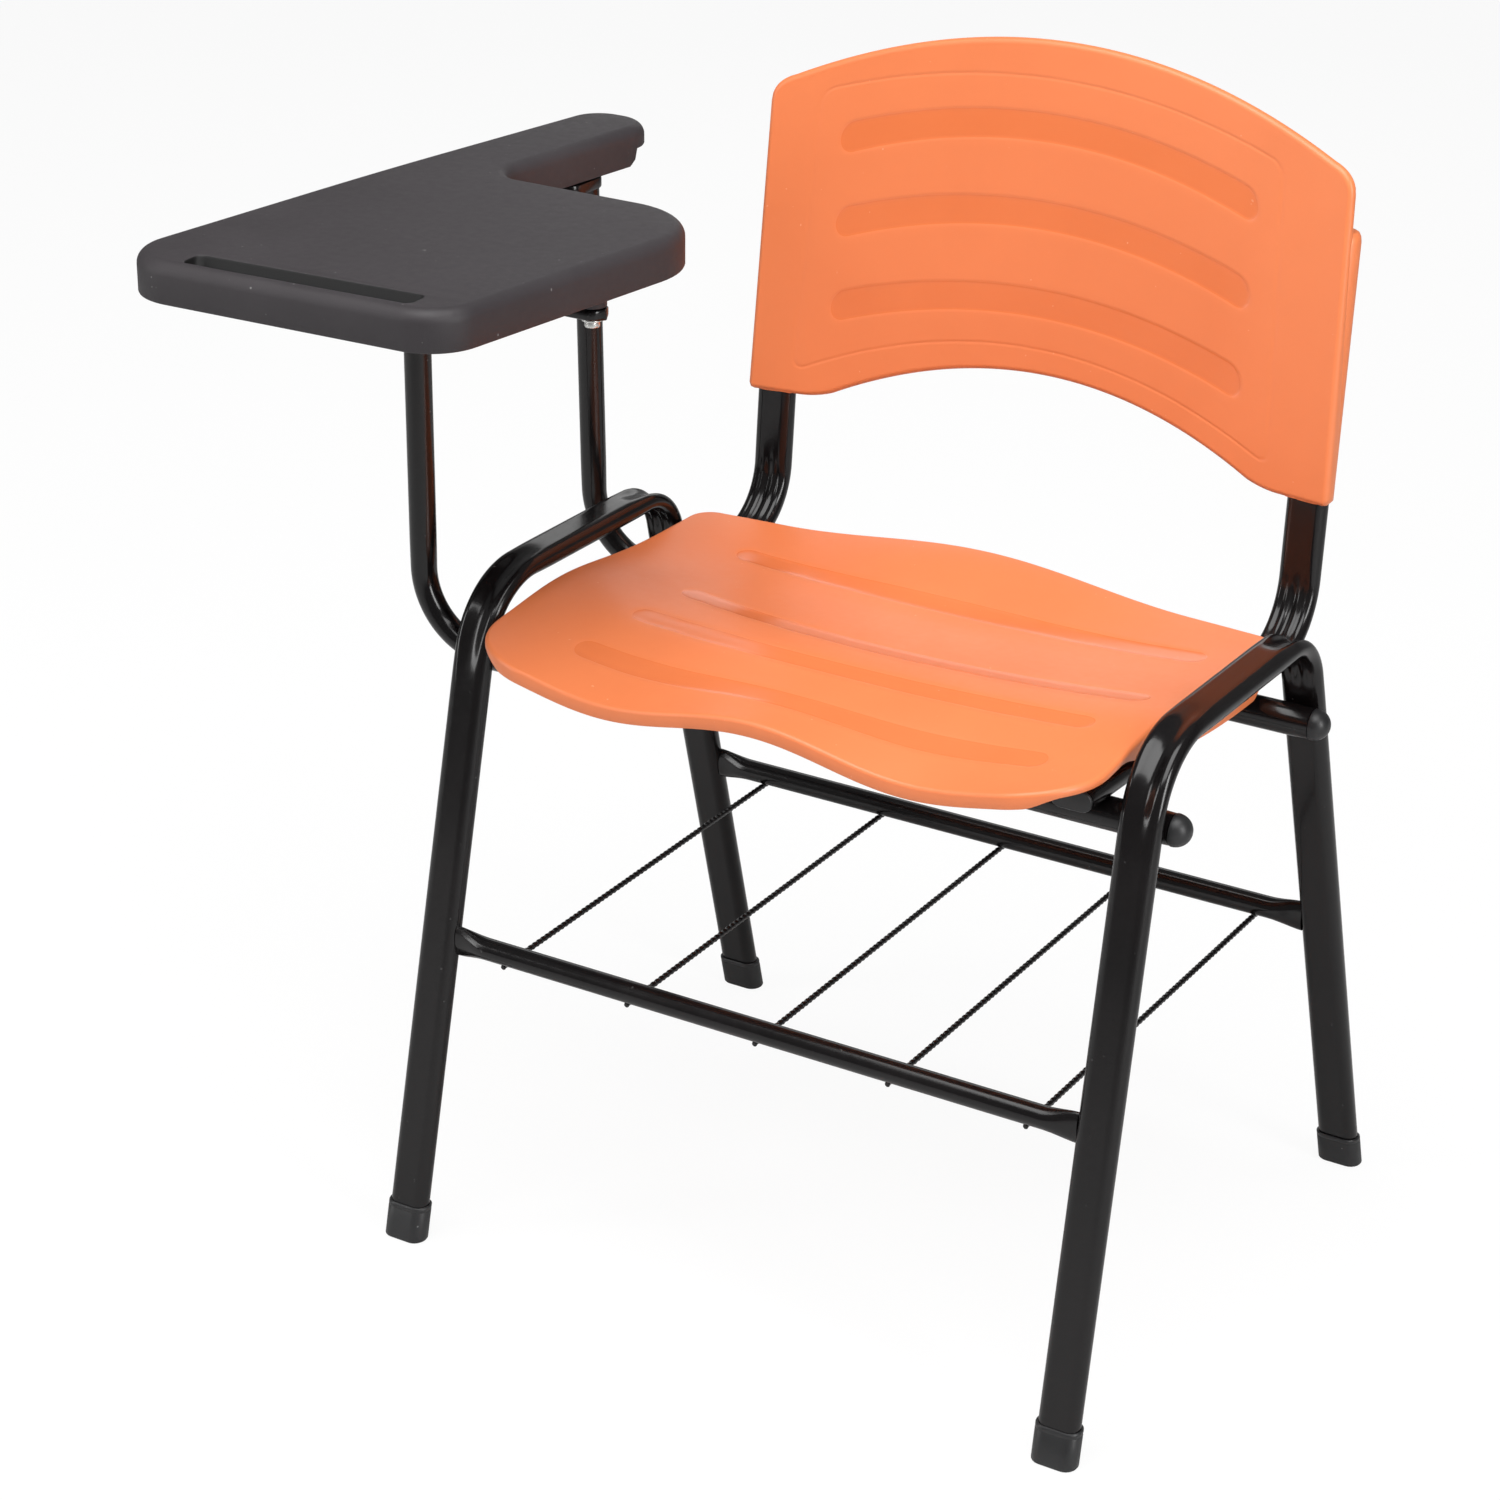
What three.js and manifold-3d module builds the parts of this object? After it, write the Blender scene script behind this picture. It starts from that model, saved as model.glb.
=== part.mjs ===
// Student desk chair with a fixed writing tablet on the sitter's right.
// Millimetres, +Z up. The sitter faces -Y, so the sitter's left is +X.
// The chair is drawn with X = 0 midway between the side frames and Z = 0 on the floor,
// and the whole group is moved at the end so that the origin is the middle of its footprint.
import * as THREE from 'three';
import { mergeVertices } from 'three/addons/utils/BufferGeometryUtils.js';
import Module from 'manifold-3d';

const wasm = await Module();
wasm.setup();

// ---------------------------------------------------------------- driving dimensions

const GAP = 0.3;                       // between pieces that touch

// Side frames: one flat-oval tube each, bent into an upside-down U.
const OVAL_WIDE = 30;
const OVAL_THIN = 15;
const OVAL_WALL = 1.2;
const FRAME_X_AT_FLOOR = 263.4;        // tube centre from the middle of the chair
const FRAME_LEAN_IN = 0.01402;         // towards the middle, per mm of height
const FRAME_TOP_Z = 473;               // tube centre
const FRONT_FOOT_Y = -126.2;
const FRONT_LEG_SLOPE = 0.2164;        // rearward, per mm of height
const REAR_FOOT_Y = 336.5;
const REAR_LEG_SLOPE = -0.288;
const FRONT_BEND_R = 60;
const REAR_BEND_R = 42;

// Foot caps.
const CAP_WALL = 1.3;
const CAP_FLOOR = 3;
const CAP_HEIGHT = 25;

// Bars between the legs and the rods of the book rack.
const BAR_R = 8;
const BAR_WALL = 1.2;
const FRONT_BAR_Z = 223;
const REAR_BAR_Z = 227;
const BAR_END_HEIGHT = 23;             // the ends are pressed flat and stand this tall
const BAR_END_THICK = 8;
const BAR_END_LENGTH = 27;
const ROD_R = 2.25;
const ROD_COUNT = 5;
const ROD_PITCH = 103.6;
const ROD_PAST = 1;                    // past the front bar's centre

// Cross tubes under the seat.
const CROSS_WALL = 1.2;
const SUPPORT_R = 9.5;                 // the tablet's tubes slide inside the cross tubes
const TELESCOPE_CLEARANCE = 0.4;
const CROSS_R = SUPPORT_R + TELESCOPE_CLEARANCE + CROSS_WALL;
const FRONT_CROSS_Z = 418.2;
const REAR_CROSS_Z = 410.8;
const CROSS_LEFT_X = FRAME_X_AT_FLOOR + 8.6;         // plugged end
const CROSS_RIGHT_X = 7.4 - FRAME_X_AT_FLOOR;        // open end, where the tablet's tube slides in
const PLUG_DOME = 12;
const PLUG_STEM = 14;

// Rails under the seat, which bend up to carry the backrest.
const RAIL_X = 215;
const RAIL_FRONT_Y = -48;
const UPRIGHT_LEAN = 0.085;            // rearward, per mm of height
const UPRIGHT_Y = 295;                 // tube centre, at UPRIGHT_REF_Z
const UPRIGHT_REF_Z = 485;
const UPRIGHT_TOP_Z = 700;
const UPRIGHT_BEND_R = 50;
const RAIL_PLUG_FLANGE = 2.5;
const RAIL_PLUG_STEM = 12;

// Seat shell.
const SEAT_HALF_WIDTH = 234.5;
const SEAT_FRONT_Y = -90;
const SEAT_REAR_Y = 224;               // at the sides
const SEAT_REAR_BOW = 8;               // further back in the middle
const SEAT_Z = 455;                    // side edge, at the back
const SEAT_WALL = 3.5;
const SEAT_LIP = 11;                   // depth of the turned-down edge, front and back
const SEAT_SIDE_LIP = 31;              // depth of the turned-down edge at the sides
const SEAT_CORNER_LIP = 6;             // depth of the turned-down edge over the rails' front ends
const SEAT_SIDE_RISE = 9.5;            // crown of the side edge
const SEAT_SIDE_RISE_Y = 38;
const SEAT_CROWN_REACH = 70;           // along Y, of that crown
const SEAT_DISH = 8;
const SEAT_DISH_Y = [-20, 80, 150, 240]; // starts, is full, starts to end, has ended
const SEAT_REAR_RISE = 12;             // of the rear edge, in the middle
const SEAT_REAR_RISE_X = 165;          // the rise ends here
const SEAT_REAR_RISE_Y = [130, 235];
const SEAT_FRONT_DROP = 0.5;           // at the middle and the corners
const SEAT_THIGH_DROP = 16;            // extra, where the thighs go over
const SEAT_DROP_START_Y = 20;
const SEAT_FRONT_R = 52;               // corner radii in plan
const SEAT_REAR_R = 17;
const SEAT_FRONT_SWEEP = 4;            // corners this far behind the middle of the front edge
const SEAT_MID_R = [900, 600];         // front and rear edge, where the two halves meet
const SEAT_SKIRT_Y = [-20, 60, 42, 14]; // deep edge: start and full; from the rear, full and end
const SEAT_BOSS_R = 8;
const SEAT_SCREW_Y = [30, 165];

// Backrest shell.
const BACK_HALF_WIDTH = 234;           // at the bottom
const BACK_SIDE_TAPER = 5.5;           // narrower at the shoulders, on each side
const BACK_FACE_Y = 316;               // front face in the middle, at BACK_REF_Z
const BACK_REF_Z = 650;
const BACK_CURVE = 20;                 // sides this far ahead of the middle
const BACK_TOP_Z = 813.5;
const BACK_SHOULDER_X = 213;
const BACK_SHOULDER_Z = 766;
const BACK_SIDE_TOP_Z = 749;
const BACK_BOTTOM_Z = 530.5;
const BACK_ARCH_X = 172;
const BACK_ARCH_FOOT_Z = 535;
const BACK_ARCH_TOP_Z = 576;
const BACK_ARCH_END_X = 198;
const BACK_SHOULDER_SAG = 5;           // of the corner curve's control point
const BACK_WALL = 3.5;
const BACK_LIP = 6;
const POCKET_WALL = 2.2;
const POCKET_TOP_Z = 720;
const POCKET_CLEARANCE = 0.4;
const BACK_SCREW_Z = 600;

// Writing tablet.
const SUPPORT_X = -48.6 - FRAME_X_AT_FLOOR;          // centre of the tubes that carry it
const TABLET_TOP_Z = 730;
const TABLET_THICK = 28;
const TABLET_WALL = 4;
const TABLET_ROUND = 13;
const TABLET_CORNERS = [               // x from the carrying tubes, y, corner radius
  [-110, -207, 42], [154, -197.5, 37], [190.5, 84, 65], [-6.5, 86, 22],
  [16, 268, 28], [-46, 268, 28], [-80.5, 48, 3000],
].map(([x, y, radius]) => [SUPPORT_X + x, y, radius]);
const ARM_STEP_Y = 237;                // behind this the arm is thinner
const ARM_END_THICK = 16;
const GROOVE_LENGTH = 175;
const GROOVE_WIDTH = 20;
const GROOVE_DEPTH = 11;
const GROOVE_AT = [SUPPORT_X + 34, -181];
const GROOVE_TURN = 0.055;             // radians
const GROOVE_WALL = 3;
const GROOVE_CORNER_R = 5;

// Tubes that carry the tablet.
const SUPPORT_WALL = 1.5;
const REAR_SUPPORT_TOP_X = SUPPORT_X - 5.5;     // the rear tube leans out a little
const SUPPORT_BEND_R = 54;
const SUPPORT_TOP_BEND_R = 24;
const SUPPORT_INSERT = 150;            // length inside the cross tube
const TAB_THICK = 8;
const TAB_WIDE = 22;
const FRONT_TAB_DROP = 15;             // below the tablet's rim
const REAR_TAB_DROP = 1;
const FRONT_TAB_START_X = SUPPORT_X + 50;
const FRONT_BOLT_X = [SUPPORT_X + 77, SUPPORT_X + 144];
const REAR_BOLT_Y = 178;
const TABLET_BOSS_R = 10;

// Fasteners.
const BOLT_R = 3;
const BOLT_HEAD_R = 5.2;
const BOLT_HEAD_HEIGHT = 4;
const WASHER_R = 7;
const WASHER_THICK = 1.5;
const SCREW_R = 2.5;
const SCREW_HEAD_R = 4.8;
const SCREW_HEAD_HEIGHT = 3;
const HOLE_CLEARANCE = 0.4;
const SCREW_BITE = 9;                  // length inside the plastic
const CLAMP_SCREW_R = 3;
const CLAMP_SCREW_HEAD_R = 5;
const CLAMP_SCREW_HEAD_HEIGHT = 5;
const CLAMP_SCREW_X = CROSS_RIGHT_X + 71;

// ---------------------------------------------------------------- materials

const paint = (color, roughness, metalness) =>
  new THREE.MeshStandardMaterial({ color, roughness, metalness });
const blackPaint = () => paint(0x141313, 0.25, 0.1);
const orangePlastic = () => paint(0xe8743c, 0.35, 0);
const charcoalPlastic = () => paint(0x3d3b3d, 0.6, 0);
const blackPlastic = () => paint(0x232323, 0.6, 0);
const zincSteel = () => paint(0xc9c9c6, 0.3, 1);

// ---------------------------------------------------------------- solids

function solidOf(geometry) {
  const bare = geometry.clone();
  bare.deleteAttribute('normal');
  bare.deleteAttribute('uv');
  const welded = mergeVertices(bare, 1e-4);
  return new wasm.Manifold(new wasm.Mesh({
    numProp: 3,
    vertProperties: new Float32Array(welded.attributes.position.array),
    triVerts: new Uint32Array(welded.index.array),
  }));
}

function meshOf(name, solid, material) {
  const data = solid.getMesh();
  const geometry = new THREE.BufferGeometry();
  geometry.setAttribute('position', new THREE.BufferAttribute(data.vertProperties, 3));
  geometry.setIndex(new THREE.BufferAttribute(data.triVerts, 1));
  const mesh = new THREE.Mesh(geometry, material);
  mesh.name = name;
  return mesh;
}

function block(low, high) {
  const size = high.map((value, i) => value - low[i]);
  const geometry = new THREE.BoxGeometry(...size);
  geometry.translate(...low.map((value, i) => value + size[i] / 2));
  return solidOf(geometry);
}

// A round post along Z, from one height to another.
function post(x, y, lowZ, highZ, radius, sides = 16) {
  const geometry = new THREE.CylinderGeometry(radius, radius, highZ - lowZ, sides);
  geometry.rotateX(Math.PI / 2);
  geometry.translate(x, y, (lowZ + highZ) / 2);
  return solidOf(geometry);
}

// A turned piece: the profile gives radius and distance along `axis` from `origin`.
function turned(profile, origin, axis, sides = 16) {
  const points = profile.map(([radius, along]) => new THREE.Vector2(radius, along));
  const geometry = new THREE.LatheGeometry(points, sides);
  const turn = new THREE.Quaternion().setFromUnitVectors(
    new THREE.Vector3(0, 1, 0), new THREE.Vector3(...axis).normalize());
  geometry.applyQuaternion(turn);
  geometry.translate(...origin);
  return solidOf(geometry);
}

// ---------------------------------------------------------------- outlines

// An outline from corners [x, y, radius], with an optional inset.
function roundedOutline(corners, inset = 0) {
  const count = corners.length;
  const at = (i) => new THREE.Vector2(...corners[(i + count) % count]);
  const area = corners.reduce((sum, corner, i) => {
    const next = corners[(i + 1) % count];
    return sum + corner[0] * next[1] - next[0] * corner[1];
  }, 0);
  const winding = Math.sign(area);
  const edges = corners.map((_, i) => {
    const along = at(i + 1).sub(at(i)).normalize();
    const inward = new THREE.Vector2(-along.y, along.x).multiplyScalar(winding);
    return { along, inward, from: at(i).addScaledVector(inward, inset) };
  });
  const shape = new THREE.Shape();
  for (let i = 0; i < count; i += 1) {
    const before = edges[(i + count - 1) % count];
    const after = edges[i];
    const cross = before.along.cross(after.along);
    const reach = after.from.clone().sub(before.from).cross(after.along) / cross;
    const corner = before.from.clone().addScaledVector(before.along, reach);
    const convex = Math.sign(cross) === winding;
    const radius = Math.max(0.5, corners[i][2] + (convex ? -inset : inset));
    const turn = Math.asin(Math.min(1, Math.abs(cross)));
    const angle = before.along.dot(after.along) < 0 ? Math.PI - turn : turn;
    const trim = radius * Math.tan(angle / 2);
    const side = Math.sign(cross);
    const start = corner.clone().addScaledVector(before.along, -trim);
    const toCentre = new THREE.Vector2(-before.along.y, before.along.x).multiplyScalar(side);
    const centre = start.clone().addScaledVector(toCentre, radius);
    const from = Math.atan2(start.y - centre.y, start.x - centre.x);
    if (i === 0) shape.moveTo(start.x, start.y);
    else shape.lineTo(start.x, start.y);
    shape.absarc(centre.x, centre.y, radius, from, from + side * angle, side < 0);
  }
  shape.closePath();
  return shape;
}

// A flat oval: two half circles joined by straight sides, wide along x.
function ovalOutline(wide, thin) {
  const radius = thin / 2;
  const reach = (wide - thin) / 2;
  const shape = new THREE.Shape();
  shape.moveTo(-reach, -radius);
  shape.lineTo(reach, -radius);
  shape.absarc(reach, 0, radius, -Math.PI / 2, Math.PI / 2, false);
  shape.lineTo(-reach, radius);
  shape.absarc(-reach, 0, radius, Math.PI / 2, 1.5 * Math.PI, false);
  return shape;
}

function circleOutline(radius) {
  return new THREE.Shape().absarc(0, 0, radius, 0, 2 * Math.PI, false);
}

function withHole(outer, inner) {
  outer.holes.push(inner);
  return outer;
}

const ovalTube = () => withHole(
  ovalOutline(OVAL_WIDE, OVAL_THIN),
  ovalOutline(OVAL_WIDE - 2 * OVAL_WALL, OVAL_THIN - 2 * OVAL_WALL));

// An outline in the XY plane, extruded from one height to another.
function prism(shape, lowZ, highZ, curveSegments = 4) {
  const geometry = new THREE.ExtrudeGeometry(shape, {
    depth: highZ - lowZ, bevelEnabled: false, curveSegments,
  });
  geometry.translate(0, 0, lowZ);
  return solidOf(geometry);
}

// ---------------------------------------------------------------- bent tubes

// A path through stations, each with its own direction: straight runs take no extra stations.
class StationPath extends THREE.Curve {
  constructor(stations) {
    super();
    this.stations = stations;
  }

  blend(t, key) {
    const last = this.stations.length - 1;
    const i = Math.min(last - 1, Math.floor(t * last + 1e-9));
    return this.stations[i][key].clone().lerp(this.stations[i + 1][key], t * last - i);
  }

  getPoint(t) { return this.blend(t, 'at'); }

  getTangent(t) { return this.blend(t, 'along').normalize(); }

  getPointAt(u) { return this.getPoint(u); }

  getTangentAt(u) { return this.getTangent(u); }
}

// Straight runs through the points, with a bend of the given radius at each inner point.
function bentPath(points, radii, step = 0.26) {
  const at = points.map((point) => new THREE.Vector3(...point));
  const along = at.slice(1).map((point, i) => point.clone().sub(at[i]).normalize());
  const stations = [{ at: at[0], along: along[0] }];
  for (let i = 1; i < at.length - 1; i += 1) {
    const before = along[i - 1];
    const after = along[i];
    const angle = before.angleTo(after);
    const radius = radii[i - 1];
    const start = at[i].clone().addScaledVector(before, -radius * Math.tan(angle / 2));
    const inward = after.clone().addScaledVector(before, -after.dot(before)).normalize();
    const centre = start.clone().addScaledVector(inward, radius);
    const pieces = Math.ceil(angle / step);
    for (let k = 0; k <= pieces; k += 1) {
      const turn = (angle * k) / pieces;
      stations.push({
        at: centre.clone().addScaledVector(inward, -radius * Math.cos(turn))
          .addScaledVector(before, radius * Math.sin(turn)),
        along: before.clone().multiplyScalar(Math.cos(turn))
          .addScaledVector(inward, Math.sin(turn)),
      });
    }
  }
  stations.push({ at: at[at.length - 1], along: along[along.length - 1] });
  return new StationPath(stations);
}

function sweep(shape, path, curveSegments = 3) {
  return solidOf(new THREE.ExtrudeGeometry(shape, {
    steps: path.stations.length - 1, bevelEnabled: false, extrudePath: path, curveSegments,
  }));
}

// ---------------------------------------------------------------- places worked out

const frameX = (z) => FRAME_X_AT_FLOOR - FRAME_LEAN_IN * z;
const frontLegY = (z) => FRONT_FOOT_Y + FRONT_LEG_SLOPE * z;
const rearLegY = (z) => REAR_FOOT_Y + REAR_LEG_SLOPE * z;
// How far along Y a slanted leg's centre is from something that touches it at a distance.
const alongY = (distance, slope) => distance * Math.hypot(1, slope);

// The cross tubes touch the legs: behind the front ones, ahead of the rear ones.
const crossOffset = OVAL_THIN / 2 + GAP + CROSS_R;
const FRONT_CROSS_Y = frontLegY(FRONT_CROSS_Z) + alongY(crossOffset, FRONT_LEG_SLOPE);
const REAR_CROSS_Y = rearLegY(REAR_CROSS_Z) - alongY(crossOffset, REAR_LEG_SLOPE);

// The rails rest on both cross tubes.
const railLift = CROSS_R + GAP + OVAL_THIN / 2;
const RAIL_SLOPE = (REAR_CROSS_Z - FRONT_CROSS_Z) / (REAR_CROSS_Y - FRONT_CROSS_Y);
const railZ = (y) => FRONT_CROSS_Z + railLift * Math.hypot(1, RAIL_SLOPE)
  + RAIL_SLOPE * (y - FRONT_CROSS_Y);
const uprightY = (z) => UPRIGHT_Y + UPRIGHT_LEAN * (z - UPRIGHT_REF_Z);

// Where the rail's line meets the upright's line.
const railCornerZ = (railZ(UPRIGHT_Y) - RAIL_SLOPE * UPRIGHT_LEAN * UPRIGHT_REF_Z)
  / (1 - RAIL_SLOPE * UPRIGHT_LEAN);

const TABLET_UNDER_Z = TABLET_TOP_Z - TABLET_THICK;
const FRONT_TAB_TOP_Z = TABLET_UNDER_Z - FRONT_TAB_DROP;
const REAR_TAB_TOP_Z = TABLET_UNDER_Z - REAR_TAB_DROP;

const smooth = (low, high, value) => THREE.MathUtils.smoothstep(value, low, high);

// ---------------------------------------------------------------- side frames and feet

function legPath(footY, slope, lowZ, highZ) {
  const y = (z) => footY + slope * z;
  return (side) => bentPath([
    [side * frameX(lowZ), y(lowZ), lowZ], [side * frameX(highZ), y(highZ), highZ]], []);
}

function sideFrame(side) {
  const below = -20;
  const points = [
    [side * frameX(below), frontLegY(below), below],
    [side * frameX(FRAME_TOP_Z), frontLegY(FRAME_TOP_Z), FRAME_TOP_Z],
    [side * frameX(FRAME_TOP_Z), rearLegY(FRAME_TOP_Z), FRAME_TOP_Z],
    [side * frameX(below), rearLegY(below), below],
  ];
  const tube = sweep(ovalTube(), bentPath(points, [FRONT_BEND_R, REAR_BEND_R]));
  const under = block([-500, -500, -100], [500, 600, CAP_FLOOR + GAP]);
  return tube.subtract(under);
}

function footCap(side, footY, slope) {
  const outerOffset = 2 * (GAP + CAP_WALL);
  const path = legPath(footY, slope, -20, CAP_HEIGHT)(side);
  const sleeve = sweep(ovalOutline(OVAL_WIDE + outerOffset, OVAL_THIN + outerOffset), path, 4);
  const inside = sweep(ovalOutline(OVAL_WIDE + 2 * GAP, OVAL_THIN + 2 * GAP),
    legPath(footY, slope, -20, CAP_HEIGHT + 20)(side), 4);
  const floorSlab = block([-500, -500, -100], [500, 600, CAP_FLOOR]);
  const ground = block([-500, -500, -100], [500, 600, 0]);
  return sleeve.subtract(inside.subtract(floorSlab)).subtract(ground);
}

// ---------------------------------------------------------------- lower bars and rack

// A round bar along X whose ends are pressed flat against the legs.
function lowerBar(legY, barZ) {
  const half = frameX(barZ) - OVAL_WIDE / 2 - GAP;
  const inner = BAR_R - BAR_WALL;
  const ends = [0, 0.25, 0.5, 0.75, 1].map((part) => half - BAR_END_LENGTH * (1 - part));
  const stations = [...ends.map((x) => -x).reverse(), ...ends];
  const outline = [
    ...stations.map((x) => new THREE.Vector2(BAR_R, x)),
    ...[...stations].reverse().map((x) => new THREE.Vector2(inner, x)),
    new THREE.Vector2(BAR_R, stations[0]),
  ];
  const geometry = new THREE.LatheGeometry(outline, 12);
  geometry.rotateZ(-Math.PI / 2);
  const place = geometry.attributes.position;
  for (let i = 0; i < place.count; i += 1) {
    const press = smooth(half - BAR_END_LENGTH, half, Math.abs(place.getX(i)));
    const wide = Math.hypot(place.getY(i), place.getZ(i)) > (BAR_R + inner) / 2;
    const tall = wide ? BAR_END_HEIGHT / 2 / BAR_R : (BAR_END_HEIGHT / 2 - BAR_WALL) / inner;
    const thin = wide ? BAR_END_THICK / 2 / BAR_R : (BAR_END_THICK / 2 - BAR_WALL) / inner;
    place.setY(i, place.getY(i) * (1 + press * (thin - 1)));
    place.setZ(i, place.getZ(i) * (1 + press * (tall - 1)));
  }
  geometry.translate(0, legY(barZ), barZ);
  return solidOf(geometry);
}

function rackRod(x) {
  const drop = BAR_R + GAP + ROD_R;
  const front = [x, frontLegY(FRONT_BAR_Z), FRONT_BAR_Z - drop];
  const rear = [x, rearLegY(REAR_BAR_Z), REAR_BAR_Z - drop];
  const slope = (rear[2] - front[2]) / (rear[1] - front[1]);
  return sweep(circleOutline(ROD_R), bentPath([
    [x, front[1] - ROD_PAST, front[2] - ROD_PAST * slope],
    [x, rear[1] + BAR_R, rear[2] + BAR_R * slope]], []), 5);
}

// ---------------------------------------------------------------- cross tubes and plugs

function clampScrewSeat(y, z) {
  return post(CLAMP_SCREW_X, y, z - 2 * CROSS_R, z, CLAMP_SCREW_R + HOLE_CLEARANCE);
}

function crossTube(y, z) {
  const path = bentPath([[CROSS_RIGHT_X, y, z], [CROSS_LEFT_X, y, z]], []);
  const shape = withHole(circleOutline(CROSS_R), circleOutline(CROSS_R - CROSS_WALL));
  return sweep(shape, path, 10).subtract(clampScrewSeat(y, z));
}

function crossPlug(y, z) {
  const stem = CROSS_R - CROSS_WALL - GAP;
  const profile = [[0, -PLUG_STEM], [stem, -PLUG_STEM], [stem, GAP], [CROSS_R, GAP]];
  const rise = 5;
  for (let i = 1; i <= rise; i += 1) {
    const angle = (Math.PI / 2) * (i / rise);
    profile.push([CROSS_R * Math.cos(angle), GAP + PLUG_DOME * Math.sin(angle)]);
  }
  profile[profile.length - 1][0] = 0;
  return turned(profile, [CROSS_LEFT_X, y, z], [1, 0, 0], 20);
}

function clampScrew(y, z) {
  const tip = SUPPORT_R + GAP;
  const seat = CROSS_R + GAP;
  const profile = [
    [0, -tip], [CLAMP_SCREW_R, -tip], [CLAMP_SCREW_R, -seat], [CLAMP_SCREW_HEAD_R, -seat],
    [CLAMP_SCREW_HEAD_R, -seat - CLAMP_SCREW_HEAD_HEIGHT], [0, -seat - CLAMP_SCREW_HEAD_HEIGHT]];
  return turned(profile.reverse(), [CLAMP_SCREW_X, y, z], [0, 0, 1]);
}

// ---------------------------------------------------------------- rails and back uprights

function uprightPath(side) {
  const x = side * RAIL_X;
  return bentPath([
    [x, RAIL_FRONT_Y, railZ(RAIL_FRONT_Y)],
    [x, uprightY(railCornerZ), railCornerZ],
    [x, uprightY(UPRIGHT_TOP_Z), UPRIGHT_TOP_Z]], [UPRIGHT_BEND_R]);
}

function seatScrewHole(x, y) {
  const z = railZ(y);
  return post(x, y, z - OVAL_THIN, z + OVAL_THIN, SCREW_R + HOLE_CLEARANCE, 12);
}

function backScrewHole(x) {
  const y = uprightY(BACK_SCREW_Z);
  return turned([[0, -OVAL_THIN], [SCREW_R + HOLE_CLEARANCE, -OVAL_THIN],
    [SCREW_R + HOLE_CLEARANCE, OVAL_THIN], [0, OVAL_THIN]], [x, y, BACK_SCREW_Z], [0, 1, 0], 12);
}

function backUpright(side) {
  const x = side * RAIL_X;
  const holes = [...SEAT_SCREW_Y.map((y) => seatScrewHole(x, y)), backScrewHole(x)];
  return holes.reduce((tube, hole) => tube.subtract(hole), sweep(ovalTube(), uprightPath(side)));
}

function railPlug(side) {
  const x = side * RAIL_X;
  const away = RAIL_FRONT_Y - GAP;
  const at = (y) => [x, y, railZ(y)];
  const flange = sweep(ovalOutline(OVAL_WIDE, OVAL_THIN),
    bentPath([at(away - RAIL_PLUG_FLANGE), at(away)], []), 4);
  const bore = 2 * (OVAL_WALL + GAP);
  const stem = sweep(ovalOutline(OVAL_WIDE - bore, OVAL_THIN - bore),
    bentPath([at(away - RAIL_PLUG_FLANGE / 2), at(RAIL_FRONT_Y + RAIL_PLUG_STEM)], []), 4);
  return flange.add(stem);
}

// ---------------------------------------------------------------- seat

function seatTop(x, y) {
  const across = 1 - (x / SEAT_HALF_WIDTH) ** 2;
  const side = SEAT_Z + SEAT_SIDE_RISE * Math.exp(
    -(((y - SEAT_SIDE_RISE_Y) / SEAT_CROWN_REACH) ** 2));
  const [dishStart, dishFull, dishFade, dishEnd] = SEAT_DISH_Y;
  const dish = SEAT_DISH * smooth(dishStart, dishFull, y) * (1 - smooth(dishFade, dishEnd, y));
  const reach = Math.min(1, Math.abs(x) / SEAT_REAR_RISE_X);
  const rise = SEAT_REAR_RISE * Math.cos((Math.PI / 2) * reach) ** 2
    * smooth(...SEAT_REAR_RISE_Y, y);
  const drop = Math.max(0, (SEAT_DROP_START_Y - y) / (SEAT_DROP_START_Y - SEAT_FRONT_Y));
  const thigh = Math.sin((Math.PI * x) / SEAT_HALF_WIDTH) ** 2;
  return side + rise - across * dish - (SEAT_FRONT_DROP + SEAT_THIGH_DROP * thigh) * drop ** 2;
}

function seatLip(x, y) {
  const atSide = smooth(0.9, 0.97, Math.abs(x) / SEAT_HALF_WIDTH);
  const [start, full, fade, end] = SEAT_SKIRT_Y;
  const along = smooth(start, full, y) * (1 - smooth(SEAT_REAR_Y - fade, SEAT_REAR_Y - end, y));
  const atCorner = smooth(0.86, 0.95, Math.abs(x) / SEAT_HALF_WIDTH)
    * (1 - smooth(start, SEAT_DROP_START_Y, y));
  return SEAT_LIP + (SEAT_SIDE_LIP - SEAT_LIP) * atSide * along
    - (SEAT_LIP - SEAT_CORNER_LIP) * atCorner;
}

// A grid of columns over the seat's footprint, between two height functions.
function seatSlab(topZ, bottomZ) {
  const rearY = SEAT_REAR_Y + SEAT_REAR_BOW + 5;
  const geometry = new THREE.BoxGeometry(2, 1, 1, 20, 16, 1);
  const place = geometry.attributes.position;
  for (let i = 0; i < place.count; i += 1) {
    const x = place.getX(i) * (SEAT_HALF_WIDTH + 5);
    const y = SEAT_FRONT_Y - 5 + (place.getY(i) + 0.5) * (rearY - SEAT_FRONT_Y + 5);
    place.setXYZ(i, x, y, place.getZ(i) > 0 ? topZ(x, y) : bottomZ(x, y));
  }
  return solidOf(geometry);
}

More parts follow.
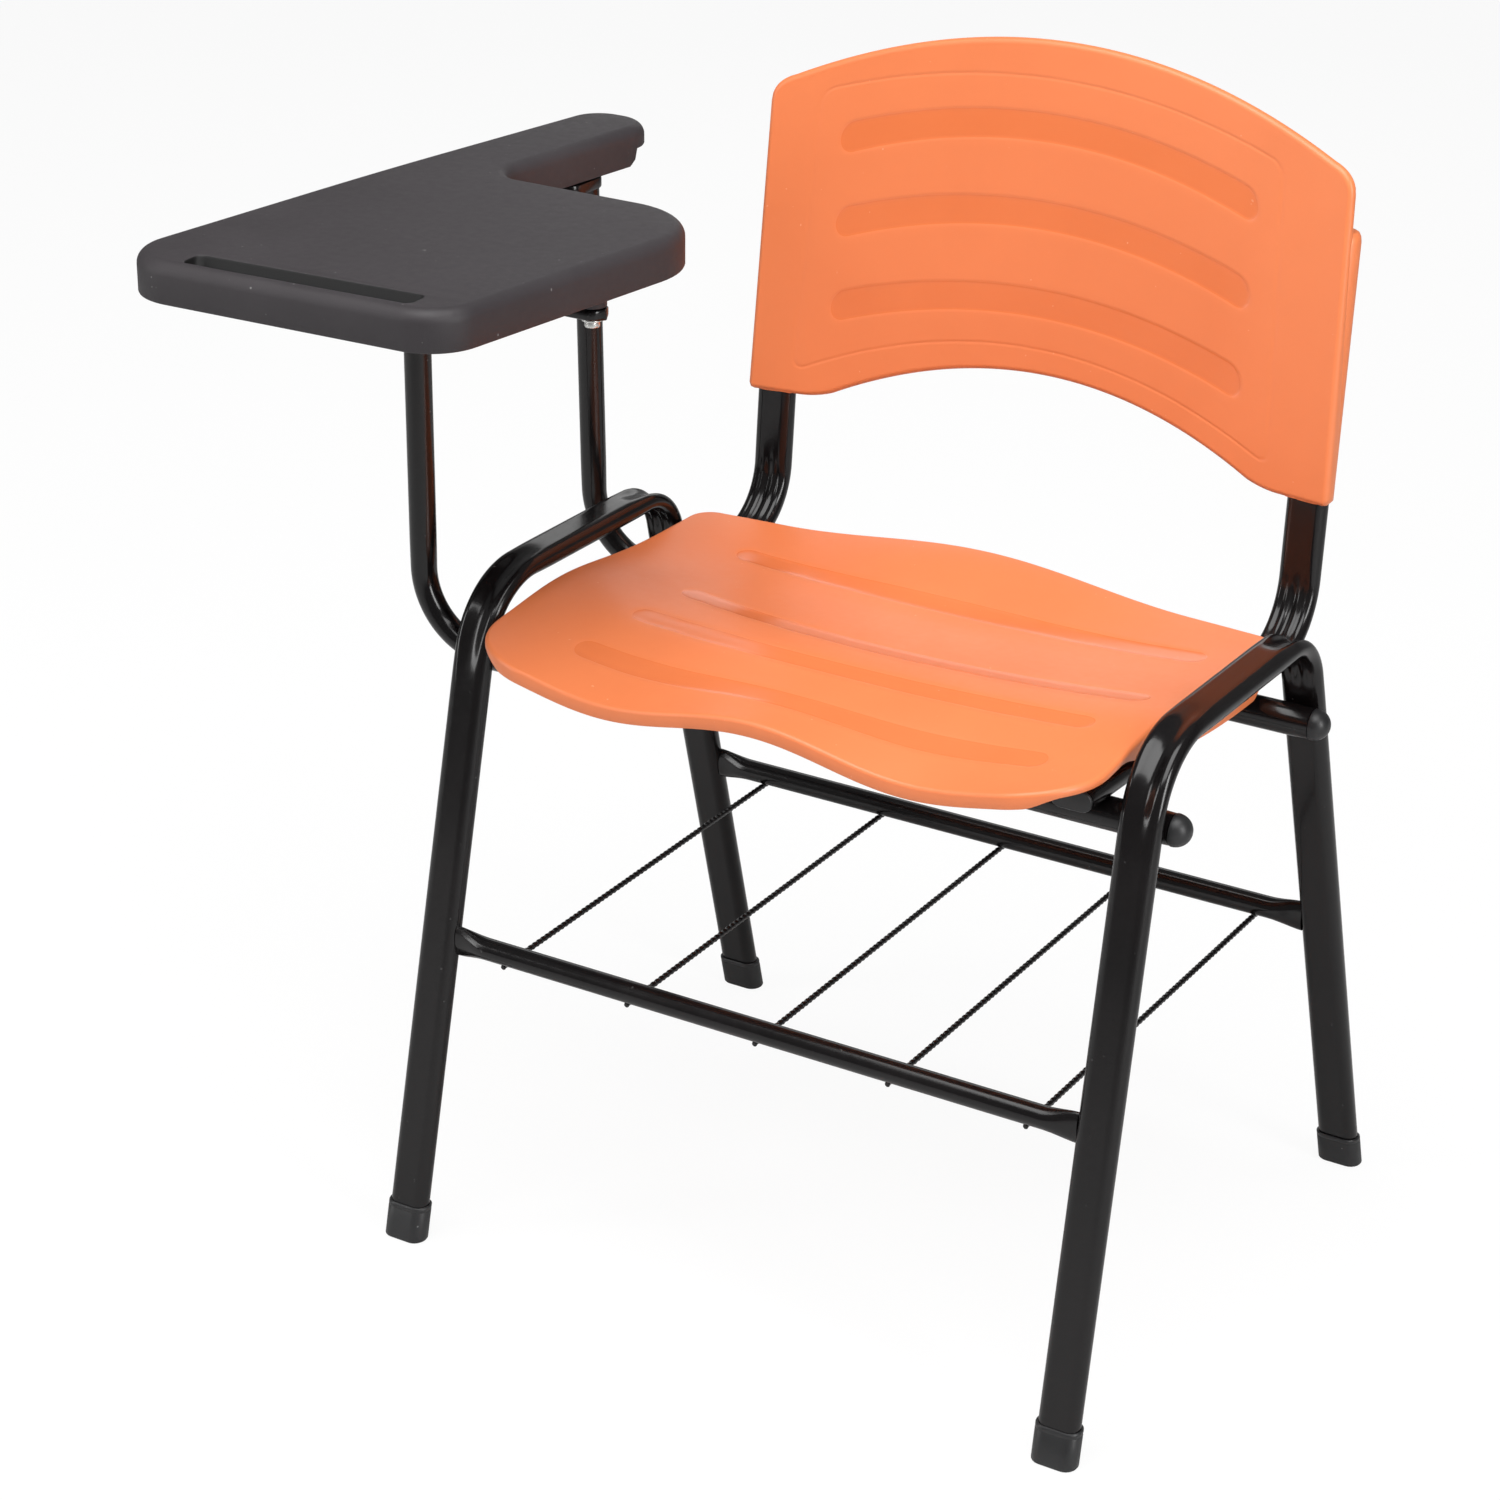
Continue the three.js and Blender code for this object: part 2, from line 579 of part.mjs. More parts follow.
function seatOutline(inset) {
  return roundedOutline([
    [-SEAT_HALF_WIDTH, SEAT_FRONT_Y + SEAT_FRONT_SWEEP, SEAT_FRONT_R],
    [0, SEAT_FRONT_Y, SEAT_MID_R[0]],
    [SEAT_HALF_WIDTH, SEAT_FRONT_Y + SEAT_FRONT_SWEEP, SEAT_FRONT_R],
    [SEAT_HALF_WIDTH, SEAT_REAR_Y, SEAT_REAR_R],
    [0, SEAT_REAR_Y + 2 * SEAT_REAR_BOW, SEAT_MID_R[1]],
    [-SEAT_HALF_WIDTH, SEAT_REAR_Y, SEAT_REAR_R]], inset);
}

function seatShell() {
  const low = SEAT_Z - 120;
  const outer = prism(seatOutline(0), low, SEAT_Z + 60, 3);
  const inner = prism(seatOutline(SEAT_WALL), low, SEAT_Z + 60, 3);
  const body = seatSlab(seatTop, (x, y) => seatTop(x, y) - seatLip(x, y)).intersect(outer);
  const hollow = seatSlab((x, y) => seatTop(x, y) - SEAT_WALL, () => low + 10).intersect(inner);
  let shell = body.subtract(hollow);
  for (const side of [-1, 1]) {
    for (const y of SEAT_SCREW_Y) {
      const x = side * RAIL_X;
      const foot = railZ(y) + (OVAL_THIN / 2) * Math.hypot(1, RAIL_SLOPE)
        - RAIL_SLOPE * SEAT_BOSS_R + GAP;
      const boss = post(x, y, foot, seatTop(x, y) - SEAT_WALL / 2, SEAT_BOSS_R);
      const pilot = post(x, y, foot - 1, foot + SCREW_BITE + GAP, SCREW_R + GAP, 12);
      shell = shell.add(boss).subtract(pilot);
    }
  }
  return shell;
}

function seatScrew(side, y) {
  const x = side * RAIL_X;
  const under = (OVAL_THIN / 2) * Math.hypot(1, RAIL_SLOPE) - RAIL_SLOPE * SCREW_HEAD_R;
  const head = railZ(y) - under - GAP;
  const tip = railZ(y) + under + GAP + SCREW_BITE;
  return turned([[0, head - SCREW_HEAD_HEIGHT], [SCREW_HEAD_R * 0.8, head - SCREW_HEAD_HEIGHT],
    [SCREW_HEAD_R, head], [SCREW_R, head], [SCREW_R, tip], [0, tip]].map(
    ([radius, z]) => [radius, z - head]), [x, y, head], [0, 0, 1], 12);
}

// ---------------------------------------------------------------- backrest

// A slab that follows the curved face, from one depth behind it to another.
function backSlab(nearDepth, farDepth) {
  const lowZ = BACK_BOTTOM_Z - 20;
  const highZ = BACK_TOP_Z + 20;
  const reach = BACK_HALF_WIDTH + 8;
  const curve = BACK_CURVE * (reach / BACK_HALF_WIDTH) ** 2;
  const shape = new THREE.Shape();
  shape.moveTo(-reach, nearDepth - curve);
  shape.quadraticCurveTo(0, nearDepth + curve, reach, nearDepth - curve);
  shape.lineTo(reach, farDepth - curve);
  shape.quadraticCurveTo(0, farDepth + curve, -reach, farDepth - curve);
  const geometry = new THREE.ExtrudeGeometry(shape, {
    depth: highZ - lowZ, bevelEnabled: false, curveSegments: 24,
  });
  geometry.translate(0, BACK_FACE_Y - UPRIGHT_LEAN * (BACK_REF_Z - lowZ), lowZ);
  geometry.translate(0, 0, -lowZ);
  geometry.applyMatrix4(new THREE.Matrix4().makeShear(0, 0, 0, 0, 0, UPRIGHT_LEAN));
  geometry.translate(0, 0, lowZ);
  return solidOf(geometry);
}

function backOutline(inset) {
  const edge = BACK_HALF_WIDTH - inset;
  const edgeTop = edge - BACK_SIDE_TAPER;
  const shoulder = BACK_SHOULDER_X - inset / 2;
  const topZ = BACK_TOP_Z - inset;
  const shoulderZ = BACK_SHOULDER_Z - inset;
  const bottomZ = BACK_BOTTOM_Z + inset;
  const archTopZ = BACK_ARCH_TOP_Z + inset;
  const archFootZ = BACK_ARCH_FOOT_Z + inset;
  const archFootX = BACK_ARCH_END_X;
  const shape = new THREE.Shape();
  shape.moveTo(-edge, bottomZ);
  shape.lineTo(-archFootX, bottomZ);
  shape.quadraticCurveTo(-(archFootX + BACK_ARCH_X) / 2, bottomZ, -BACK_ARCH_X, archFootZ);
  shape.quadraticCurveTo(0, 2 * archTopZ - archFootZ, BACK_ARCH_X, archFootZ);
  shape.quadraticCurveTo((archFootX + BACK_ARCH_X) / 2, bottomZ, archFootX, bottomZ);
  shape.lineTo(edge, bottomZ);
  shape.lineTo(edgeTop, BACK_SIDE_TOP_Z);
  shape.quadraticCurveTo(edgeTop, shoulderZ - BACK_SHOULDER_SAG, shoulder, shoulderZ);
  shape.quadraticCurveTo(0, 2 * topZ - shoulderZ, -shoulder, shoulderZ);
  shape.quadraticCurveTo(-edgeTop, shoulderZ - BACK_SHOULDER_SAG, -edgeTop, BACK_SIDE_TOP_Z);
  shape.closePath();
  return shape;
}

// An outline in the XZ plane, extruded along Y across the whole backrest.
function backPrism(shape) {
  const depth = 200;
  const geometry = new THREE.ExtrudeGeometry(shape, {
    depth, bevelEnabled: false, curveSegments: 10,
  });
  geometry.rotateX(Math.PI / 2);
  geometry.translate(0, BACK_FACE_Y + depth / 2, 0);
  return solidOf(geometry);
}

// The rear face of the sockets, along the uprights.
const socketRearY = (z) =>
  uprightY(z) + alongY(OVAL_THIN / 2 + POCKET_CLEARANCE + POCKET_WALL, UPRIGHT_LEAN);

function backrestShell() {
  const whole = backPrism(backOutline(0));
  const shell = backSlab(0, BACK_LIP).intersect(whole)
    .subtract(backSlab(BACK_WALL, BACK_LIP + 30).intersect(backPrism(backOutline(BACK_WALL))));
  const behind = backSlab(0, 2 * OVAL_WIDE);
  const socketBlock = block([-300, 0, BACK_BOTTOM_Z], [300, 600, POCKET_TOP_Z]);
  const socketSleeve = (side, grow, highZ) => {
    const lowZ = BACK_BOTTOM_Z - 30;
    return sweep(ovalOutline(OVAL_WIDE + 2 * grow, OVAL_THIN + 2 * grow), bentPath([
      [side * RAIL_X, uprightY(lowZ), lowZ], [side * RAIL_X, uprightY(highZ), highZ]], []), 4);
  };
  return [-1, 1].reduce((back, side) => {
    const housing = socketSleeve(side, POCKET_CLEARANCE + POCKET_WALL, POCKET_TOP_Z + 30)
      .intersect(behind).intersect(socketBlock);
    const pocket = socketSleeve(side, POCKET_CLEARANCE, UPRIGHT_TOP_Z + POCKET_CLEARANCE);
    const hole = backScrewHole(side * RAIL_X).translate([0, OVAL_THIN, 0]);
    return back.add(housing).subtract(pocket).subtract(hole);
  }, shell);
}

function backScrew(side) {
  const y = uprightY(BACK_SCREW_Z);
  const lean = UPRIGHT_LEAN * SCREW_HEAD_R;
  const head = socketRearY(BACK_SCREW_Z) + lean + GAP - y;
  const tip = -OVAL_THIN / 2 + OVAL_WALL;
  return turned([[0, tip], [SCREW_R, tip], [SCREW_R, head], [SCREW_HEAD_R, head],
    [SCREW_HEAD_R * 0.8, head + SCREW_HEAD_HEIGHT], [0, head + SCREW_HEAD_HEIGHT]],
  [side * RAIL_X, y, BACK_SCREW_Z], [0, 1, 0], 12);
}

// ---------------------------------------------------------------- writing tablet

const grooveCorners = (grow) => {
  const long = GROOVE_LENGTH / 2 + grow;
  const wide = GROOVE_WIDTH / 2 + grow;
  return [[-long, -wide], [long, -wide], [long, wide], [-long, wide]].map(([x, y]) => [
    GROOVE_AT[0] + x * Math.cos(GROOVE_TURN) - y * Math.sin(GROOVE_TURN),
    GROOVE_AT[1] + x * Math.sin(GROOVE_TURN) + y * Math.cos(GROOVE_TURN), GROOVE_CORNER_R + grow]);
};

const boltPlaces = () => [
  ...FRONT_BOLT_X.map((x) => ({ x, y: FRONT_CROSS_Y, tabTop: FRONT_TAB_TOP_Z })),
  { x: REAR_SUPPORT_TOP_X, y: REAR_BOLT_Y, tabTop: REAR_TAB_TOP_Z },
];

function tabletTop() {
  const outline = roundedOutline(TABLET_CORNERS, TABLET_ROUND);
  const raw = new THREE.ExtrudeGeometry(outline, {
    depth: TABLET_THICK, bevelEnabled: true, bevelThickness: TABLET_ROUND,
    bevelSize: TABLET_ROUND, bevelSegments: 3, curveSegments: 4,
  });
  raw.translate(0, 0, TABLET_UNDER_Z - TABLET_ROUND);
  const skin = TABLET_TOP_Z - TABLET_WALL;
  const armWallY = ARM_STEP_Y - TABLET_WALL;
  const underCut = block([-600, -400, TABLET_UNDER_Z - 60], [0, 400, TABLET_UNDER_Z]);
  const hollow = prism(roundedOutline(TABLET_CORNERS, TABLET_WALL), TABLET_UNDER_Z - 5, skin)
    .subtract(block([-600, armWallY, TABLET_UNDER_Z - 10], [0, 400, skin + 10]));
  const stepCut = block([-600, ARM_STEP_Y, TABLET_UNDER_Z - 10],
    [0, 400, TABLET_TOP_Z - ARM_END_THICK]);
  const body = solidOf(raw);
  let top = body.subtract(underCut).subtract(hollow).subtract(stepCut);
  const grooveFloor = TABLET_TOP_Z - GROOVE_DEPTH;
  top = top.add(prism(roundedOutline(grooveCorners(GROOVE_WALL)),
    grooveFloor - GROOVE_WALL, skin + 1, 2));
  top = top.subtract(prism(roundedOutline(grooveCorners(0)), grooveFloor, TABLET_TOP_Z + 5, 2));
  for (const { x, y, tabTop } of boltPlaces()) {
    top = top.add(post(x, y, tabTop + GAP, skin + 1, TABLET_BOSS_R).intersect(body));
    top = top.subtract(post(x, y, tabTop - 1, tabTop + GAP + SCREW_BITE + GAP, BOLT_R + GAP, 12));
  }
  return top;
}

function tab(path, topZ, holes) {
  const plate = prism(path, topZ - TAB_THICK, topZ, 4);
  return (tube) => holes.reduce((sum, [x, y]) => sum.subtract(
    post(x, y, topZ - 3 * TAB_THICK, topZ + TAB_THICK, BOLT_R + HOLE_CLEARANCE, 12)), tube.add(plate));
}

const supportTube = () => withHole(circleOutline(SUPPORT_R), circleOutline(SUPPORT_R - SUPPORT_WALL));

function supportFront() {
  const y = FRONT_CROSS_Y;
  const armZ = FRONT_TAB_TOP_Z - TAB_THICK / 2;
  const tube = sweep(supportTube(), bentPath([
    [CROSS_RIGHT_X + SUPPORT_INSERT, y, FRONT_CROSS_Z], [SUPPORT_X, y, FRONT_CROSS_Z],
    [SUPPORT_X, y, armZ], [FRONT_TAB_START_X + TAB_WIDE / 2, y, armZ]],
  [SUPPORT_BEND_R, SUPPORT_TOP_BEND_R]), 6);
  const endX = FRONT_BOLT_X[1] + TAB_WIDE / 2;
  const half = TAB_WIDE / 2;
  const plate = roundedOutline([[FRONT_TAB_START_X, y - half, 8], [endX, y - half, half - 0.1],
    [endX, y + half, half - 0.1], [FRONT_TAB_START_X, y + half, 8]]);
  return tab(plate, FRONT_TAB_TOP_Z, FRONT_BOLT_X.map((x) => [x, y]))(tube);
}

function supportRear() {
  const y = REAR_CROSS_Y;
  const tube = sweep(supportTube(), bentPath([
    [CROSS_RIGHT_X + SUPPORT_INSERT, y, REAR_CROSS_Z], [SUPPORT_X, y, REAR_CROSS_Z],
    [REAR_SUPPORT_TOP_X, y, REAR_TAB_TOP_Z - TAB_THICK / 2]], [SUPPORT_BEND_R]), 6);
  const half = TAB_WIDE / 2;
  const low = REAR_BOLT_Y - half;
  const high = y + half;
  const x = REAR_SUPPORT_TOP_X;
  const plate = roundedOutline([[x - half, low, half - 0.1], [x + half, low, half - 0.1],
    [x + half, high, half - 0.1], [x - half, high, half - 0.1]]);
  return tab(plate, REAR_TAB_TOP_Z, [[x, REAR_BOLT_Y]])(tube);
}

function tabletWasher({ x, y, tabTop }) {
  const top = tabTop - TAB_THICK - GAP;
  const inner = BOLT_R + HOLE_CLEARANCE;
  return turned([[inner, 0], [inner, -WASHER_THICK], [WASHER_R, -WASHER_THICK], [WASHER_R, 0],
    [inner, 0]], [x, y, top], [0, 0, 1], 18);
}

function tabletBolt({ x, y, tabTop }) {
  const seat = tabTop - TAB_THICK - 2 * GAP - WASHER_THICK;
  const tip = tabTop + GAP + SCREW_BITE - seat;
  return turned([[0, -BOLT_HEAD_HEIGHT], [BOLT_HEAD_R, -BOLT_HEAD_HEIGHT], [BOLT_HEAD_R, 0],
    [BOLT_R, 0], [BOLT_R, tip], [0, tip]], [x, y, seat], [0, 0, 1], 12);
}

// ---------------------------------------------------------------- the chair

const chair = new THREE.Group();
const put = (name, solid, material) => chair.add(meshOf(name, solid, material));

for (const [side, hand] of [[1, 'left'], [-1, 'right']]) {
  put(`side_frame_${hand}`, sideFrame(side), blackPaint());
  put(`foot_cap_front_${hand}`, footCap(side, FRONT_FOOT_Y, FRONT_LEG_SLOPE), blackPlastic());
  put(`foot_cap_rear_${hand}`, footCap(side, REAR_FOOT_Y, REAR_LEG_SLOPE), blackPlastic());
  put(`back_upright_${hand}`, backUpright(side), blackPaint());
  put(`rail_plug_${hand}`, railPlug(side), blackPlastic());
  put(`backrest_screw_${hand}`, backScrew(side), zincSteel());
  SEAT_SCREW_Y.forEach((y, i) => {
    put(`seat_screw_${i ? 'rear' : 'front'}_${hand}`, seatScrew(side, y), zincSteel());
  });
}

put('front_lower_bar', lowerBar(frontLegY, FRONT_BAR_Z), blackPaint());
put('rear_lower_bar', lowerBar(rearLegY, REAR_BAR_Z), blackPaint());
for (let i = 0; i < ROD_COUNT; i += 1) {
  const x = (i - (ROD_COUNT - 1) / 2) * ROD_PITCH;
  put(`rack_rod_${i + 1}`, rackRod(x), blackPaint());
}

for (const [end, y, z] of [['front', FRONT_CROSS_Y, FRONT_CROSS_Z], ['rear', REAR_CROSS_Y, REAR_CROSS_Z]]) {
  put(`${end}_cross_tube`, crossTube(y, z), blackPaint());
  put(`${end}_cross_plug`, crossPlug(y, z), blackPlastic());
  put(`clamp_screw_${end}`, clampScrew(y, z), zincSteel());
}

put('seat_shell', seatShell(), orangePlastic());
put('backrest_shell', backrestShell(), orangePlastic());
put('tablet_top', tabletTop(), charcoalPlastic());
put('tablet_support_front', supportFront(), blackPaint());
put('tablet_support_rear', supportRear(), blackPaint());
boltPlaces().forEach((place, i) => {
  put(`tablet_washer_${i + 1}`, tabletWasher(place), zincSteel());
  put(`tablet_bolt_${i + 1}`, tabletBolt(place), zincSteel());
});

// The origin goes to the middle of the footprint, on the floor.
const group = new THREE.Group();
group.add(chair);
const box = new THREE.Box3().setFromObject(chair);
chair.position.set(-(box.min.x + box.max.x) / 2, -(box.min.y + box.max.y) / 2, -box.min.z);

export default group;
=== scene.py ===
"""Student desk chair with a writing tablet, dressed for a studio view.

The chair's own measures are in millimetres, with X = 0 midway between the side frames, the
sitter facing -Y and Z = 0 on the floor. place() moves them into the shared frame, in metres.
"""
import math

import bmesh
import bpy
import numpy as np
from mathutils import Matrix, Vector
from mathutils.geometry import tessellate_polygon


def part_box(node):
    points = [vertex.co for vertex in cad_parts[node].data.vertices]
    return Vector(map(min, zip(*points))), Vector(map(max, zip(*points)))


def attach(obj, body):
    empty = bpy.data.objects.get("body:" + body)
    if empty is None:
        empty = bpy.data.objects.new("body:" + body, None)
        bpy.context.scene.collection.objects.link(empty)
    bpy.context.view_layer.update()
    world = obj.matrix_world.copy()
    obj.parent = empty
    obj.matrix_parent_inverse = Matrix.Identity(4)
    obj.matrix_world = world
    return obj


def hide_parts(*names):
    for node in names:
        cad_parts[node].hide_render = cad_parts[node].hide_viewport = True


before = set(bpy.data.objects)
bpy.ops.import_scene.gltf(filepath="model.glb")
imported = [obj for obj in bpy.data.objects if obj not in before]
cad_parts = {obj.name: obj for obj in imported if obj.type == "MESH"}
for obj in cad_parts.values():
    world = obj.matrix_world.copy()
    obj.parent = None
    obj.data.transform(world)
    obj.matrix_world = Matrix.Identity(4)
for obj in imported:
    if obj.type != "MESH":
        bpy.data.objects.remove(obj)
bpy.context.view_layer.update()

MM = 0.001

# ------------------------------------------------------------------ measures, mm

OVAL_WIDE, OVAL_THIN, OVAL_WALL = 30, 15, 1.2
FRAME_X_AT_FLOOR, FRAME_LEAN_IN = 263.4, 0.01402
FRAME_TOP_Z = 473
FRONT_FOOT_Y, FRONT_LEG_SLOPE = -126.2, 0.2164
REAR_FOOT_Y, REAR_LEG_SLOPE = 336.5, -0.288
FRONT_BEND_R, REAR_BEND_R = 60, 42
LEG_BOTTOM_Z = 3.3

CAP_HEIGHT, CAP_FLOOR = 26.5, 3
CAP_GROW = 1.6

BAR_R, BAR_WALL = 8, 1.2
FRONT_BAR_Z, REAR_BAR_Z = 223, 227
BAR_END_TALL, BAR_END_THICK, BAR_END_LENGTH = 23, 8, 27
ROD_R, ROD_COUNT, ROD_PITCH = 2.25, 5, 103.6

CROSS_R, CROSS_WALL = 11.1, 1.2
FRONT_CROSS = (-16.44, 418.2)
REAR_CROSS = (198.52, 410.8)
CROSS_LEFT_X, CROSS_RIGHT_X = 272, -256
PLUG_DOME = 12

RAIL_X, RAIL_FRONT_Y = 215, -48
UPRIGHT_LEAN, UPRIGHT_Y, UPRIGHT_REF_Z = 0.085, 295, 485
UPRIGHT_TOP_Z, UPRIGHT_BEND_R = 700, 50

SEAT_HALF_WIDTH, SEAT_FRONT_Y, SEAT_REAR_Y, SEAT_REAR_BOW = 234.5, -90, 224, 12
SEAT_Z, SEAT_WALL = 455, 3.5
SEAT_LIP, SEAT_SIDE_LIP, SEAT_CORNER_LIP = 11, 31, 6
SEAT_FRONT_R, SEAT_REAR_R = 52, 17

BACK_HALF_WIDTH, BACK_SIDE_TAPER = 234, 5.5
BACK_FACE_Y, BACK_REF_Z, BACK_CURVE = 316, 650, 20
BACK_TOP_Z, BACK_SHOULDER_X, BACK_SHOULDER_Z, BACK_SIDE_TOP_Z = 813.5, 213, 766, 749
BACK_BOTTOM_Z, BACK_ARCH_X, BACK_ARCH_FOOT_Z, BACK_ARCH_TOP_Z = 530.5, 172, 535, 576
BACK_ARCH_END_X = 198
BACK_WALL, BACK_LIP = 3.5, 6
POCKET_TOP_Z, POCKET_GROW = 720, 2.6

TABLET_TOP_Z, TABLET_THICK, TABLET_WALL, TABLET_ROUND = 730, 28, 4, 9
TABLET_CORNERS = [
    (-422, -207, 42), (-158, -197.5, 37), (-121.5, 84, 65), (-318.5, 86, 22),
    (-296, 268, 28), (-358, 268, 28), (-392.5, 48, 3000),
]
ARM_STEP_Y, ARM_END_THICK = 237, 16
GROOVE_AT, GROOVE_TURN = (-278, -181), 0.055
GROOVE_LENGTH, GROOVE_WIDTH, GROOVE_DEPTH = 175, 20, 11
GROOVE_CORNER_R = 6

SUPPORT_R, SUPPORT_WALL, SUPPORT_X, REAR_SUPPORT_TOP_X = 9.5, 1.5, -312, -317.5
SUPPORT_BEND_R, SUPPORT_TOP_BEND_R = 54, 24
SUPPORT_INNER_X = -106
TAB_THICK, TAB_WIDE = 8, 22
FRONT_TAB_TOP_Z = TABLET_TOP_Z - TABLET_THICK - 15
REAR_TAB_TOP_Z = TABLET_TOP_Z - TABLET_THICK - 1
FRONT_BOLT_X, REAR_BOLT_Y = (-235, -168), 178

# ------------------------------------------------------------------ frame of reference

left_box, right_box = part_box("side_frame_left"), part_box("side_frame_right")
MID_X = (left_box[0].x + right_box[1].x) / 2
SIDE_FRAME_MID_Y = 105.1
SHIFT = np.array([MID_X, (left_box[0].y + left_box[1].y) / 2 - SIDE_FRAME_MID_Y * MM, 0.0])


def place(points):
    return np.asarray(points, float) * MM + SHIFT


def smooth(low, high, value):
    t = np.clip((np.asarray(value, float) - low) / (high - low), 0, 1)
    return t * t * (3 - 2 * t)


def frame_x(z):
    return FRAME_X_AT_FLOOR - FRAME_LEAN_IN * z


def front_leg_y(z):
    return FRONT_FOOT_Y + FRONT_LEG_SLOPE * z


def rear_leg_y(z):
    return REAR_FOOT_Y + REAR_LEG_SLOPE * z


RAIL_SLOPE = (REAR_CROSS[1] - FRONT_CROSS[1]) / (REAR_CROSS[0] - FRONT_CROSS[0])


def rail_z(y):
    lift = CROSS_R + 0.3 + OVAL_THIN / 2
    return FRONT_CROSS[1] + lift * math.hypot(1, RAIL_SLOPE) + RAIL_SLOPE * (y - FRONT_CROSS[0])


def upright_y(z):
    return UPRIGHT_Y + UPRIGHT_LEAN * (z - UPRIGHT_REF_Z)


# ------------------------------------------------------------------ meshes

class Shape:
    """Collects rings and grids of points in millimetres and makes one closed mesh of them."""

    def __init__(self):
        self.points, self.faces = [], []

    def add(self, points):
        start = len(self.points)
        self.points.extend([tuple(p) for p in points])
        return list(range(start, start + len(points)))

    def bridge(self, a, b, closed=True):
        count = len(a)
        for i in range(count if closed else count - 1):
            j = (i + 1) % count
            self.faces.append((a[i], a[j], b[j], b[i]))

    def bridge_all(self, rings, closed=True, loop=False):
        for a, b in zip(rings, rings[1:] + (rings[:1] if loop else [])):
            self.bridge(a, b, closed)

    def fan(self, ring, flip=False):
        middle = self.add([np.mean([self.points[i] for i in ring], axis=0)])[0]
        for i in range(len(ring)):
            a, b = ring[i], ring[(i + 1) % len(ring)]
            self.faces.append((b, a, middle) if flip else (a, b, middle))

    def fill(self, outer, holes=()):
        loops = [outer, *holes]
        flat = [i for loop in loops for i in loop]
        for tri in tessellate_polygon([[Vector((*self.points[i][:2], 0)) for i in loop]
                                       for loop in loops]):
            self.faces.append(tuple(flat[k] for k in tri))

    def make(self, name, material, body, nodes=(), sharp=40, polish_and_shade=None):
        mesh = bpy.data.meshes.new(name)
        mesh.from_pydata([tuple(p) for p in place(self.points)], [], self.faces)
        tidy = bpy.data.objects.new(name, mesh)
        bpy.context.scene.collection.objects.link(tidy)
        bm = bmesh_of(mesh)
        bm.to_mesh(mesh)
        bm.free()
        # Per-vertex mask for the polished bands and for painted shade in the tablet groove.
        if polish_and_shade:
            places = [(np.array(v.co) - SHIFT) / MM for v in mesh.vertices]
            layer = mesh.attributes.new("polish_and_shade", "FLOAT", "POINT")
            layer.data.foreach_set("value", [float(polish_and_shade(*p)) for p in places])
        mesh.shade_smooth()
        mesh.set_sharp_from_angle(angle=math.radians(sharp))
        mesh.materials.append(material)
        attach(tidy, body)
        if nodes:
            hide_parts(*nodes)
        return tidy


def bmesh_of(mesh):
    bm = bmesh.new()
    bm.from_mesh(mesh)
    bmesh.ops.remove_doubles(bm, verts=bm.verts, dist=1e-6)
    bmesh.ops.dissolve_degenerate(bm, edges=bm.edges, dist=1e-7)
    bmesh.ops.recalc_face_normals(bm, faces=bm.faces)
    return bm


# ------------------------------------------------------------------ bent tubes

def bent_path(points, radii, bend_step=0.05, run_step=12.0, spread=24.0):
    """Stations along straight runs and bends: position, direction and how bent the tube is there."""
    at = [np.array(p, float) for p in points]
    along = [(b - a) / np.linalg.norm(b - a) for a, b in zip(at, at[1:])]
    stations, bends = [], []

    def run(start, end, direction):
        length = float(np.linalg.norm(end - start))
        near = [k * 3.0 for k in range(1, int(min(spread, length / 2) / 3))] if radii else []
        marks = sorted({0.0, length, *near, *[length - d for d in near],
                        *np.linspace(0, length, max(2, int(length / run_step)))})
        stations.extend((start + direction * d, direction) for d in marks)

    here = at[0]
    for i, radius in enumerate(radii):
        before, after = along[i], along[i + 1]
        angle = math.acos(float(np.clip(before @ after, -1, 1)))
        start = at[i + 1] - before * radius * math.tan(angle / 2)
        run(here, start, before)
        inward = after - before * (after @ before)
        inward /= np.linalg.norm(inward)
        centre = start + inward * radius
        count = max(4, int(angle / bend_step))
        bends.append((len(stations) - 1, len(stations) + count - 1))
        for k in range(1, count + 1):
            turn = angle * k / count
            stations.append((centre - inward * radius * math.cos(turn) + before * radius * math.sin(turn),
                             before * math.cos(turn) + inward * math.sin(turn)))
        here = stations.pop()[0]
    run(here, at[-1], along[-1])
    lengths = np.cumsum([0] + [float(np.linalg.norm(b[0] - a[0])) for a, b in zip(stations, stations[1:])])
    shares = np.zeros(len(stations))
    for first, last in bends:
        middle, half = (lengths[first] + lengths[last]) / 2, (lengths[last] - lengths[first]) / 2
        shares = np.maximum(shares, 1 - smooth(0.45 * half, half + spread, np.abs(lengths - middle)))
    return [(p, d, float(w)) for (p, d), w in zip(stations, shares)]


def sweep(path, across, section, wall, shape=None):
    """A hollow tube: section(share, bend, s) gives rows of (across, outward) for the outer skin."""
    shape = shape or Shape()
    across = np.array(across, float)
    lengths = np.cumsum([0] + [float(np.linalg.norm(b[0] - a[0])) for a, b in zip(path, path[1:])])
    outer, inner = [], []
    for (at, direction, bend), s in zip(path, lengths):
        side = across - direction * (across @ direction)
        side /= np.linalg.norm(side)
        up = np.cross(direction, side)
        rows = section(s, lengths[-1] - s, bend)
        centre = rows.mean(0)
        spread = np.abs(rows - centre).max(0)
        thinner = centre + (rows - centre) * np.maximum(0.05, 1 - wall / spread)
        outer.append(shape.add([at + side * a + up * b for a, b in rows]))
        inner.append(shape.add([at + side * a + up * b for a, b in thinner]))
    shape.bridge_all(outer)
    shape.bridge_all(inner)
    shape.bridge(outer[0], inner[0])
    shape.bridge(outer[-1], inner[-1])
    return shape


